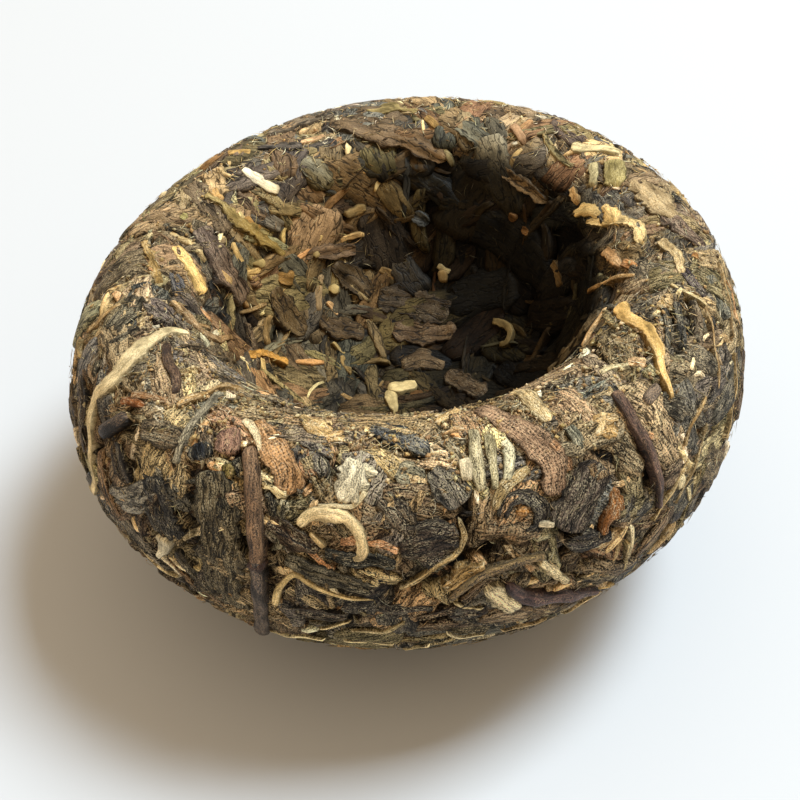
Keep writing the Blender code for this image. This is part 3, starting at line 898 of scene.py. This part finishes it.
def standing_out(name, seed, material, pieces, lift=0.42, thick=0.5, ragged=0.08, ribs=0.0,
                 cloth=0.0, pale=1.0, drop=EDGE_DROP):
    """Make one kind of piece from (pixels, widths in pixels, screen colour) rows, joined."""
    rng = np.random.default_rng(seed)
    places, faces, tints, uvs, sunk = [], [], [], [], []
    start = 0
    for pixels, widths, colour in pieces:
        points, uv, edges = press_piece(rng, pixels, widths, lift, thick, ragged, ribs, drop)
        rows = len(points)
        faces.append(grid_faces(1, rows, PIECE_COLUMNS) + start)
        start += rows * PIECE_COLUMNS
        shades = srgb(*colour) * rng.uniform(1 - COLOUR_STRAY, 1 + COLOUR_STRAY)
        tints.append(np.tile(shades, (rows * PIECE_COLUMNS, 1)))
        places.append(points.reshape(-1, 3))
        uvs.append(uv.reshape(-1, 2))
        sunk.append(edges.ravel())
    # The pale mark is painted light: at 1 the given colours stay as they are, above 1 they are
    # lightened.
    marks = {"cloth": np.full(start, cloth), "sunk": np.concatenate(sunk),
             "pale": np.full(start, pale)}
    tea_mesh(name, np.vstack(places), np.vstack(faces), np.vstack(tints), np.vstack(uvs), marks,
             material)


BUDS = [
    ([(190, 335), (172, 333), (149, 343), (131, 360), (115, 379), (98, 396), (93, 415), (92, 434),
      (93, 453), (96, 479), (98, 500), (107, 515)], (5, 11, 17, 22, 20, 12, 10, 9, 9, 9, 8, 4),
     (226, 202, 152)),
    ([(298, 527), (309, 516), (327, 513), (343, 516), (356, 528), (363, 543), (360, 555), (350, 558)],
     (9, 16, 18, 17, 15, 14, 13, 9), (232, 204, 150)),
    ([(308, 531), (321, 543), (327, 548)], (5, 6, 3), (216, 182, 124)),
    ([(315, 506), (335, 505), (353, 506), (368, 489)], (4, 5, 6, 6), (214, 194, 150)),
    ([(275, 604), (283, 583), (296, 574), (309, 581), (332, 593), (377, 598)], (7, 7, 6, 5, 4, 3),
     (216, 186, 126)),
    ([(621, 306), (631, 322), (647, 332), (656, 348), (661, 368), (667, 387), (671, 401)],
     (17, 15, 14, 12, 9, 6, 3), (226, 182, 108)),
    ([(443, 268), (444, 284)], 11, (122, 102, 70)),
    ([(492, 322), (503, 323), (511, 332), (508, 343), (498, 346)], (6, 8, 8, 7, 5), (134, 118, 84)),
    ([(328, 289), (339, 289)], 11, (184, 164, 118)),
    ([(256, 263), (264, 265)], 9, (180, 160, 112)),
    ([(312, 254), (319, 255)], 7, (150, 132, 94)),
    ([(462, 456), (466, 470), (467, 484)], (10, 13, 8), (246, 226, 184)),
    ([(536, 524), (546, 524), (555, 524)], (6, 8, 6), (232, 212, 172)),
    ([(386, 389), (402, 388), (419, 384)], (13, 15, 11), (204, 186, 144)),
    ([(390, 390), (391, 401), (396, 413)], (14, 12, 8), (196, 178, 136)),
    ([(165, 534), (165, 545), (160, 556)], (20, 15, 4), (222, 208, 174)),
]
STRAW = [
    ([(124, 304), (102, 320), (88, 334)], 6, (172, 134, 80)),
    ([(82, 337), (80, 347), (82, 358)], 6, (186, 156, 104)),
    ([(131, 396), (150, 397), (171, 402)], 7, (152, 108, 68)),
    ([(120, 401), (132, 402), (145, 406)], 10, (150, 90, 46)),
    ([(175, 302), (188, 319), (200, 331), (232, 338)], (8, 12, 12, 6), (160, 126, 86)),
    ([(223, 393), (200, 415), (185, 438), (175, 466)], 8, (146, 136, 114)),
    ([(241, 420), (250, 426), (257, 438), (262, 458)], (8, 10, 8, 3), (234, 208, 162)),
    ([(459, 519), (464, 535), (455, 553), (439, 563), (423, 576), (397, 588)], (4, 6, 7, 6, 6, 4),
     (190, 160, 108)),
    ([(500, 436), (508, 450), (505, 484)], (8, 13, 8), (216, 206, 168)),
    ([(473, 430), (475, 458), (481, 494)], (9, 15, 10), (200, 184, 142)),
    ([(487, 434), (492, 462), (495, 492)], (8, 12, 7), (182, 168, 126)),
    ([(530, 466), (512, 480), (499, 494), (494, 512)], (8, 14, 14, 10), (180, 152, 102)),
    ([(512, 394), (532, 403), (549, 425)], (14, 20, 12), (200, 170, 118)),
    ([(565, 426), (576, 437), (582, 452)], 12, (112, 110, 92)),
    ([(679, 473), (680, 481), (679, 490)], (8, 13, 8), (204, 184, 140)),
    ([(687, 485), (687, 500)], 6, (196, 176, 130)),
    ([(631, 524), (626, 559)], 5, (214, 194, 150)),
    ([(627, 540), (622, 568)], 4, (196, 172, 122)),
    ([(597, 376), (614, 369), (632, 365)], 7, (202, 182, 136)),
    ([(668, 285), (687, 294), (707, 309)], 4, (190, 164, 114)),
    ([(569, 148), (598, 150), (622, 155)], 12, (212, 192, 142)),
    ([(593, 162), (595, 175), (592, 188)], 10, (190, 174, 128)),
    ([(615, 160), (616, 187)], 19, (154, 138, 86)),
    ([(511, 124), (518, 133), (525, 144)], 9, (174, 136, 100)),
    ([(424, 116), (431, 122), (439, 129)], 8, (180, 142, 84)),
    ([(241, 169), (255, 179), (280, 193)], (10, 13, 10), (224, 208, 176)),
    ([(170, 300), (189, 321), (209, 331)], 7, (166, 130, 84)),
    ([(436, 265), (451, 273)], 6, (176, 160, 124)),
    ([(588, 293), (612, 281), (638, 276)], 5, (166, 128, 78)),
    ([(716, 262), (727, 300), (731, 340)], 4, (186, 150, 98)),
    ([(702, 300), (713, 345), (717, 392)], 4, (176, 140, 90)),
    ([(733, 350), (733, 395), (723, 440)], 4, (190, 156, 102)),
    ([(705, 420), (691, 470), (672, 505)], 4, (176, 146, 98)),
    ([(650, 522), (668, 495), (688, 455)], 4, (190, 160, 108)),
    ([(706, 395), (690, 425), (682, 448)], 4, (172, 136, 84)),
]
LOW_STRIPS = [
    ([(238, 618), (248, 622), (258, 627)], (4, 6, 4), (238, 214, 156)),
    ([(270, 629), (296, 634), (326, 637)], (5, 7, 4), (246, 224, 168)),
    ([(342, 637), (368, 640), (396, 641)], (4, 5, 3), (226, 204, 152)),
    ([(350, 628), (378, 630), (406, 620)], (3, 5, 3), (214, 190, 138)),
    ([(402, 647), (416, 646), (430, 642)], (3, 4, 3), (226, 202, 150)),
    ([(318, 626), (336, 624), (352, 619)], (3, 4, 2), (206, 182, 130)),
    ([(446, 631), (464, 635), (486, 632)], (3, 5, 3), (226, 206, 158)),
    ([(500, 628), (524, 624), (548, 615)], (3, 5, 3), (196, 168, 120)),
    ([(452, 600), (466, 606), (484, 606)], (3, 4, 3), (198, 178, 132)),
    ([(560, 612), (580, 602), (600, 589)], (3, 5, 3), (214, 186, 134)),
]
GOLDEN = [
    ([(352, 451), (356, 462), (354, 478), (346, 492), (340, 505)], (8, 22, 32, 22, 9), (232, 218, 184)),
    ([(360, 464), (370, 471), (380, 474)], (10, 16, 6), (224, 210, 174)),
    ([(352, 482), (364, 486), (372, 484)], (9, 13, 5), (216, 200, 162)),
    ([(346, 490), (356, 498), (352, 506)], (8, 12, 6), (222, 204, 166)),
    ([(303, 424), (320, 430), (346, 442)], (12, 24, 8), (214, 172, 108)),
    ([(271, 485), (280, 492), (290, 495)], (6, 10, 5), (232, 208, 152)),
    ([(486, 586), (500, 595), (517, 609)], (9, 22, 15), (238, 218, 172)),
    ([(537, 559), (552, 570), (567, 581)], (9, 11, 9), (234, 210, 160)),
    ([(436, 424), (448, 418), (461, 411)], (7, 14, 6), (216, 174, 110)),
    ([(440, 437), (455, 432), (468, 430)], (5, 9, 5), (198, 154, 102)),
    ([(299, 417), (318, 424), (334, 426)], (7, 12, 5), (222, 186, 126)),
    ([(312, 440), (330, 439), (347, 433)], (5, 14, 5), (206, 160, 98)),
    ([(590, 420), (606, 417), (620, 419)], (8, 16, 7), (214, 172, 110)),
    ([(596, 432), (608, 430), (619, 435)], (7, 15, 6), (202, 158, 94)),
    ([(603, 410), (601, 424), (594, 438)], (6, 13, 5), (218, 184, 128)),
    ([(586, 222), (613, 223), (634, 225), (643, 244)], (6, 8, 11, 13), (234, 202, 140)),
    ([(174, 246), (189, 270), (203, 296)], (11, 17, 17), (232, 190, 116)),
    ([(248, 354), (270, 356), (289, 364)], (7, 9, 8), (208, 156, 82)),
    ([(441, 588), (463, 574), (486, 562)], (10, 19, 10), (184, 146, 88)),
    ([(175, 408), (200, 397), (226, 388), (246, 392)], (8, 13, 13, 8), (168, 130, 78)),
    ([(211, 189), (222, 203)], 8, (176, 136, 80)),
    ([(243, 217), (261, 232)], 8, (170, 130, 74)),
    ([(514, 511), (522, 511), (530, 512)], (8, 12, 8), (166, 116, 62)),
    ([(690, 256), (699, 259)], 7, (180, 122, 60)),
    ([(509, 214), (518, 219)], 7, (112, 82, 50)),
    ([(521, 229), (530, 233)], 7, (112, 82, 50)),
    ([(613, 486), (613, 504), (606, 520), (604, 536)], (8, 15, 17, 6), (152, 98, 50)),
    ([(617, 494), (621, 512)], 7, (166, 108, 54)),
    ([(603, 252), (612, 257), (621, 265)], (11, 15, 9), (206, 162, 112)),
    ([(621, 264), (631, 267), (638, 271)], (6, 10, 6), (196, 138, 84)),
    ([(145, 241), (152, 262), (160, 286)], (7, 10, 7), (168, 134, 78)),
    ([(226, 156), (240, 153), (253, 153)], (5, 8, 5), (188, 150, 88)),
    ([(201, 172), (212, 163), (222, 154)], (8, 13, 8), (146, 106, 62)),
    ([(364, 111), (390, 110), (420, 112)], (7, 13, 8), (152, 132, 84)),
    ([(634, 180), (652, 198), (673, 221)], (18, 34, 20), (166, 140, 100)),
    ([(602, 206), (612, 216), (620, 227)], (6, 20, 8), (230, 192, 124)),
    ([(572, 214), (588, 211), (604, 215)], (8, 13, 8), (216, 184, 122)),
    ([(571, 186), (575, 196), (578, 206)], (6, 10, 6), (178, 142, 92)),
    ([(660, 240), (674, 254), (682, 276)], (8, 13, 7), (200, 170, 120)),
    ([(552, 262), (559, 274), (562, 288)], 9, (108, 88, 58)),
    ([(204, 194), (240, 222), (286, 255)], (10, 15, 10), (142, 120, 70)),
    ([(276, 276), (294, 279)], 13, (146, 112, 64)),
    ([(148, 268), (158, 272)], 12, (176, 118, 62)),
    ([(180, 216), (188, 221)], 11, (156, 142, 84)),
]
STEMS = [
    ([(166, 346), (168, 364), (176, 379), (177, 397)], (9, 10, 10, 8), (66, 46, 34)),
    ([(103, 434), (116, 424), (130, 415)], 14, (50, 42, 36)),
    ([(250, 446), (254, 476), (256, 515), (259, 566)], (15, 18, 18, 15), (126, 98, 72)),
    ([(258, 555), (261, 600), (266, 632)], (14, 15, 14), (90, 80, 72)),
    ([(257, 556), (259, 570)], (18, 18), (76, 52, 42)),
    ([(612, 391), (628, 416), (643, 441), (653, 463), (658, 492), (658, 508)],
     (13, 13, 12, 11, 8, 6), (92, 68, 56)),
    ([(546, 553), (516, 560), (489, 570), (466, 582), (448, 599)], (9, 10, 10, 10, 8), (130, 108, 68)),
    ([(506, 583), (526, 596), (559, 595), (597, 588)], (12, 16, 15, 6), (76, 52, 46)),
    ([(642, 405), (650, 395), (658, 386)], 13, (118, 102, 86)),
]
BROAD = [
    ([(328, 122), (360, 127), (400, 137), (446, 160)], (12, 24, 26, 14), (116, 94, 68)),
    ([(216, 468), (217, 505), (222, 560), (232, 604)], (34, 50, 54, 36), (104, 92, 68)),
    ([(140, 430), (162, 433), (185, 441)], (18, 28, 20), (110, 92, 68)),
    ([(150, 474), (160, 505), (177, 542)], (24, 44, 30), (66, 62, 58)),
    ([(114, 440), (121, 462), (129, 486)], (12, 18, 14), (76, 62, 48)),
    ([(176, 548), (196, 576), (222, 596)], (14, 24, 16), (80, 70, 52)),
    ([(200, 440), (201, 450), (202, 462)], (18, 26, 18), (52, 54, 58)),
    ([(82, 372), (84, 400), (84, 430)], (8, 14, 8), (80, 64, 48)),
    ([(144, 300), (160, 310), (181, 323)], (16, 27, 15), (102, 88, 82)),
    ([(140, 296), (127, 313), (110, 334)], (16, 30, 18), (82, 74, 58)),
    ([(106, 346), (124, 337), (141, 326)], (14, 26, 14), (74, 64, 50)),
    ([(178, 349), (206, 352), (235, 359)], (9, 17, 10), (108, 88, 64)),
    ([(292, 446), (299, 460), (298, 476)], (10, 16, 12), (88, 82, 76)),
    # Painted shade: the next two near-black sheets stand for dark gaps between leaves.
    ([(236, 455), (239, 466), (242, 479)], (8, 11, 7), (18, 15, 12)),
    ([(267, 490), (271, 504), (274, 519)], (7, 11, 7), (22, 18, 14)),
    ([(400, 366), (424, 361), (446, 366)], (16, 25, 14), (88, 72, 54)),
    ([(446, 371), (466, 384), (486, 392)], (14, 24, 14), (74, 60, 46)),
    ([(376, 296), (412, 302), (452, 312)], (24, 38, 22), (68, 56, 42)),
    ([(392, 326), (424, 334), (458, 330)], (18, 28, 16), (84, 66, 48)),
    ([(272, 288), (286, 312), (308, 332)], (18, 32, 18), (94, 76, 52)),
    ([(332, 264), (354, 280), (370, 300)], (14, 26, 14), (80, 66, 48)),
    ([(318, 318), (340, 330), (366, 334)], (14, 26, 16), (90, 72, 50)),
    ([(309, 447), (319, 462), (324, 480)], (10, 17, 12), (92, 84, 76)),
    ([(298, 440), (318, 446), (336, 456)], (12, 18, 12), (104, 92, 88)),
    # Partly painted sheen: this leaf's blue-grey tint is partly its own colour, partly the window's
    # sheen.
    ([(368, 428), (398, 436), (430, 453)], (14, 26, 18), (88, 90, 92)),
    ([(430, 468), (448, 486), (464, 506)], (20, 34, 22), (116, 106, 92)),
    ([(380, 494), (398, 512), (414, 536)], (20, 34, 22), (100, 84, 66)),
    ([(266, 519), (292, 536), (320, 553)], (14, 26, 16), (88, 68, 50)),
    ([(284, 556), (320, 574), (378, 591)], (14, 26, 16), (104, 96, 76)),
    ([(322, 553), (360, 558), (398, 566)], (10, 18, 12), (60, 60, 54)),
    ([(396, 548), (428, 541), (462, 537)], (26, 58, 26), (78, 64, 52)),
    ([(292, 608), (320, 613), (350, 616)], (10, 20, 10), (72, 60, 50)),
    ([(372, 606), (402, 610), (436, 606)], (10, 22, 10), (66, 56, 48)),
    ([(446, 612), (468, 612), (490, 606)], (10, 20, 10), (76, 62, 50)),
    ([(603, 462), (588, 488), (574, 518), (566, 534)], (24, 50, 50, 24), (90, 77, 66)),
    ([(566, 543), (590, 541), (613, 534)], (12, 24, 12), (66, 58, 52)),
    ([(660, 402), (682, 408), (704, 424)], (12, 26, 14), (92, 80, 62)),
    ([(548, 374), (574, 346), (601, 312)], (18, 36, 22), (112, 100, 80)),
    ([(458, 119), (472, 130), (490, 140)], (20, 30, 22), (112, 108, 90)),
    ([(394, 470), (410, 475), (427, 482)], (16, 30, 18), (152, 142, 114)),
    ([(410, 214), (420, 218), (430, 224)], (8, 14, 8), (88, 92, 98)),
    ([(664, 306), (668, 328), (668, 350)], (6, 9, 6), (74, 70, 64)),
    ([(676, 302), (681, 326), (683, 350)], (6, 9, 6), (64, 62, 60)),
    ([(692, 298), (698, 322), (701, 346)], (5, 8, 5), (120, 102, 80)),
    ([(500, 520), (508, 502), (526, 496), (540, 508), (538, 526), (522, 534)],
     (10, 14, 14, 14, 14, 9), (66, 58, 52)),
    ([(198, 227), (220, 262), (246, 302)], (20, 34, 22), (118, 98, 84)),
    ([(301, 158), (316, 170), (332, 184)], (16, 26, 16), (122, 116, 96)),
    ([(255, 150), (280, 146), (304, 147)], (6, 12, 8), (96, 86, 76)),
    ([(172, 272), (176, 284), (180, 296)], (10, 16, 10), (108, 104, 104)),
    ([(188, 176), (150, 206), (118, 242)], (10, 20, 12), (124, 106, 72)),
    ([(266, 136), (300, 124), (336, 114)], (8, 16, 10), (120, 104, 84)),
    ([(658, 206), (678, 226), (702, 250)], (14, 26, 16), (118, 94, 78)),
    ([(680, 269), (692, 282), (706, 299)], (6, 11, 6), (82, 70, 74)),
    ([(498, 166), (520, 182), (546, 202)], (8, 15, 9), (112, 92, 66)),
    ([(305, 256), (330, 252), (358, 250)], (9, 17, 10), (124, 102, 82)),
]
WOVEN = [
    ([(228, 427), (229, 442), (227, 457)], (22, 27, 20), (160, 122, 102)),
    ([(255, 421), (276, 451), (288, 482), (284, 496)], (16, 31, 31, 20), (184, 138, 90)),
    ([(476, 410), (515, 427), (551, 462), (556, 498)], (18, 30, 32, 22), (142, 112, 86)),
    ([(548, 440), (566, 462), (568, 474)], (8, 14, 6), (150, 108, 72)),
    ([(228, 462), (228, 480)], 14, (146, 128, 72)),
]

bud_skin = tea_material("bud", srgb(244, 230, 196), 0.4, 0.6, 0.6, bump=0.0002, creases=0.15)
stem_skin = tea_material("stem", srgb(178, 146, 112), 0.45, 1.2, 0.45, bump=0.0003, gloss=0.3,
                         creases=0.4)
russet_leaf = tea_material("russet leaf", srgb(226, 190, 150), 0.6, 1.2, 0.6, bump=0.0004,
                           creases=0.35)

standing_out("buds", 31, bud_skin, BUDS, lift=0.3, thick=0.3, ragged=0.25)
standing_out("straw", 32, pale_strip, STRAW, lift=0.28, thick=0.25, ragged=0.25)
# Painted light: the low strips are lightened by a pale mark of 1.3, out of the shade low on the front.
standing_out("low_strips", 37, pale_strip, LOW_STRIPS, lift=0.35, thick=0.2, ragged=0.3, pale=1.3,
             drop=0.3)
standing_out("golden_flakes", 33, pale_strip, GOLDEN, lift=0.28, thick=0.15, ragged=0.5,
             ribs=0.08)
standing_out("stems", 34, stem_skin, STEMS, thick=0.5, ragged=0.08, ribs=0.05)
standing_out("broad_leaves", 35, dark_leaf, BROAD, lift=0.2, thick=0.05, ragged=0.3, ribs=0.12,
             cloth=0.5)
standing_out("woven_leaves", 36, russet_leaf, WOVEN, lift=0.28, thick=0.06, ragged=0.22,
             cloth=1.1)


# The down and the crumbs. Pressing leaves fine hairs of leaf all over, thickest along the crest of
# the rim where the cloth was gathered, and grains of bud along it, most of them at the front.
CREST_ARC = 43.6
CREST_DRIFT = (-1.0, 3.5)
CREST_LIMITS = (-9, 6)
BARE_FOOT = 8.0
DOWN_COUNT = 6000
DOWN_ROWS = 5
DOWN_SIDES = 3
DOWN_ON_CREST = 0.35
DOWN_LENGTHS = (0.5, 2.4)
DOWN_BEND = 0.4
DOWN_LIFT = (0.1, 0.3)
DOWN_TILT = 0.2
DOWN_THICKNESS = (0.03, 0.065)
DOWN_TINTS = [((220, 196, 144), 3), ((196, 160, 106), 3), ((240, 226, 190), 2), ((150, 122, 84), 2)]
CRUMB_COUNT = 1800
CRUMB_SPREAD = 0.9
CRUMB_SIZES = (0.1, 0.3)
CRUMB_STRETCH = (0.5, 1.2)
CRUMB_LENGTH = 1.6
CRUMB_LIFT = (0.05, 0.3)
CRUMB_FACES = [(0, 1, 2), (1, 3, 2), (3, 4, 2), (4, 0, 2), (1, 0, 5), (3, 1, 5), (4, 3, 5), (0, 4, 5)]
CRUMB_TINTS = [((150, 118, 78), 3), ((200, 164, 106), 3), ((84, 68, 54), 2), ((228, 204, 156), 2)]


def rim_spread(count, share, rng):
    """Return bearings and arcs of places, a share of them along the crest and the rest all over."""
    bearings, arcs = spread(count, 0.0, FOOT_ARC - BARE_FOOT, rng)
    crest = rng.uniform(0, 1, count) < share
    drift = np.clip(rng.normal(*CREST_DRIFT, count), *CREST_LIMITS)
    return bearings, np.where(crest, CREST_ARC + drift, arcs)


def down(rng):
    """Return hairs: three-sided tubes along a bent line just over the body, a little tilted."""
    bearings, arcs = rim_spread(DOWN_COUNT, DOWN_ON_CREST, rng)
    middles, along, across = frames_at(bearings, arcs, rng.uniform(0, 2 * math.pi, DOWN_COUNT))
    normals = np.cross(along, across)
    u = np.linspace(-1, 1, DOWN_ROWS)[None, :, None]
    each = (DOWN_COUNT, 1, 1)
    length = rng.uniform(*DOWN_LENGTHS, each)
    bend = rng.uniform(-DOWN_BEND, DOWN_BEND, each)
    up = rng.uniform(*DOWN_LIFT, each) + rng.uniform(-DOWN_TILT, DOWN_TILT, each) * u
    path = (middles[:, None] + u * length / 2 * along[:, None]
            + bend * (u ** 2) * length / 2 * across[:, None] + up * normals[:, None])
    turn = -np.arange(DOWN_SIDES) * 2 * math.pi / DOWN_SIDES
    thick = rng.uniform(*DOWN_THICKNESS, (*each, 1)) * (1 - np.abs(u[..., None]))
    ring = (np.cos(turn)[:, None] * across[:, None, None]
            + np.sin(turn)[:, None] * normals[:, None, None])
    points = path[:, :, None] + thick * ring
    points[..., 2] = np.maximum(points[..., 2], FLOOR_CLEARANCE)
    stray = rng.uniform(0, UV_STRAY, each)
    return points, np.stack(np.broadcast_arrays(u * length + stray, stray + turn), axis=-1)


def crumbs(rng):
    """Return grains: stretched octahedrons, turned at random, half sunk among the leaves."""
    _, arcs = rim_spread(CRUMB_COUNT, 1.0, rng)
    bearings = rng.normal(-math.pi / 2, CRUMB_SPREAD, CRUMB_COUNT)
    middles, along, across = frames_at(bearings, arcs, rng.uniform(0, 2 * math.pi, CRUMB_COUNT))
    normals = np.cross(along, across)
    sizes = rng.uniform(*CRUMB_SIZES, (CRUMB_COUNT, 1))
    sizes = sizes * rng.uniform(*CRUMB_STRETCH, (CRUMB_COUNT, 3))
    axes = np.stack([along * sizes[:, :1] * CRUMB_LENGTH, across * sizes[:, 1:2],
                     normals * sizes[:, 2:]], axis=1)
    middles = middles + normals * rng.uniform(*CRUMB_LIFT, (CRUMB_COUNT, 1))
    return np.concatenate([middles[:, None] + axes, middles[:, None] - axes], axis=1)


def scatter_down():
    """Join the hairs and the grains into one piece each."""
    rng = np.random.default_rng(41)
    points, uv = down(rng)
    tints = pick_tints(rng, DOWN_COUNT, DOWN_TINTS, 0.3)[:, None, None] + 0 * points
    bare = np.zeros(points[..., 0].size)
    faces = grid_faces(DOWN_COUNT, DOWN_ROWS, DOWN_SIDES, closed=True)
    tea_mesh("down", points, faces, tints, uv, {"cloth": bare, "sunk": bare}, pale_strip,
             pointed=True)
    points = crumbs(rng)
    corners = points.shape[1]
    tints = pick_tints(rng, CRUMB_COUNT, CRUMB_TINTS, 0.4)[:, None] + 0 * points
    uv = rng.uniform(0, UV_STRAY, (CRUMB_COUNT, corners, 2))
    bare = np.zeros(points[..., 0].size)
    starts = np.arange(CRUMB_COUNT)[:, None, None] * corners
    faces = (np.array(CRUMB_FACES) + starts).reshape(-1, 3)
    tea_mesh("crumbs", points, faces, tints, uv, {"cloth": bare, "sunk": bare}, pale_strip)


scatter_down()


# The table and the light. A white table top by a window: cool daylight without sun comes down
# steeply from the right and a little from behind, and the warm room fills the shadow with brown.
WINDOW_BEARING = 20.0
WINDOW_ANGLE = 64.0
WINDOW_DISTANCE = 1.5
WINDOW_SIDE = 0.5
WINDOW_POWER = 31.5
WINDOW_COLOUR = (0.775, 0.905, 1.0)
TABLE_SIDE = 4.0
TABLE_COLOUR = (0.57, 0.58, 0.6)
TABLE_ROUGHNESS = 0.6
TABLE_GLOSS = 0.2
ROOM_COLOUR = (1.0, 0.8, 0.56)
ROOM_STRENGTH = 0.74


def lay_table():
    """Make the table top, a plain pale sheet just under the tea."""
    half = TABLE_SIDE / 2
    mesh = bpy.data.meshes.new("table")
    mesh.from_pydata([(-half, -half, 0), (half, -half, 0), (half, half, 0), (-half, half, 0)],
                     [], [(0, 1, 2, 3)])
    table = bpy.data.objects.new("table", mesh)
    bpy.context.scene.collection.objects.link(table)
    paint = bpy.data.materials.new("white table")
    paint.use_nodes = True
    shader = paint.node_tree.nodes["Principled BSDF"]
    shader.inputs["Base Color"].default_value = (*TABLE_COLOUR, 1.0)
    shader.inputs["Roughness"].default_value = TABLE_ROUGHNESS
    shader.inputs["Specular IOR Level"].default_value = TABLE_GLOSS
    mesh.materials.append(paint)


def hang_window():
    """Light the tea with a soft square light, turned to face it."""
    bearing, angle = math.radians(WINDOW_BEARING), math.radians(WINDOW_ANGLE)
    towards = Vector((math.cos(angle) * math.cos(bearing), math.cos(angle) * math.sin(bearing),
                      math.sin(angle)))
    light = bpy.data.lights.new("window", "AREA")
    light.size = WINDOW_SIDE
    light.energy = WINDOW_POWER
    light.color = WINDOW_COLOUR
    window = bpy.data.objects.new("window", light)
    bpy.context.scene.collection.objects.link(window)
    window.location = towards * WINDOW_DISTANCE
    window.rotation_euler = towards.to_track_quat("Z", "Y").to_euler()


def fill_room():
    """Fill the shadows with an even warm light."""
    world = bpy.data.worlds.new("room")
    bpy.context.scene.world = world
    world.use_nodes = True
    background = world.node_tree.nodes["Background"]
    background.inputs["Color"].default_value = (*ROOM_COLOUR, 1.0)
    background.inputs["Strength"].default_value = ROOM_STRENGTH


lay_table()
hang_window()
fill_room()
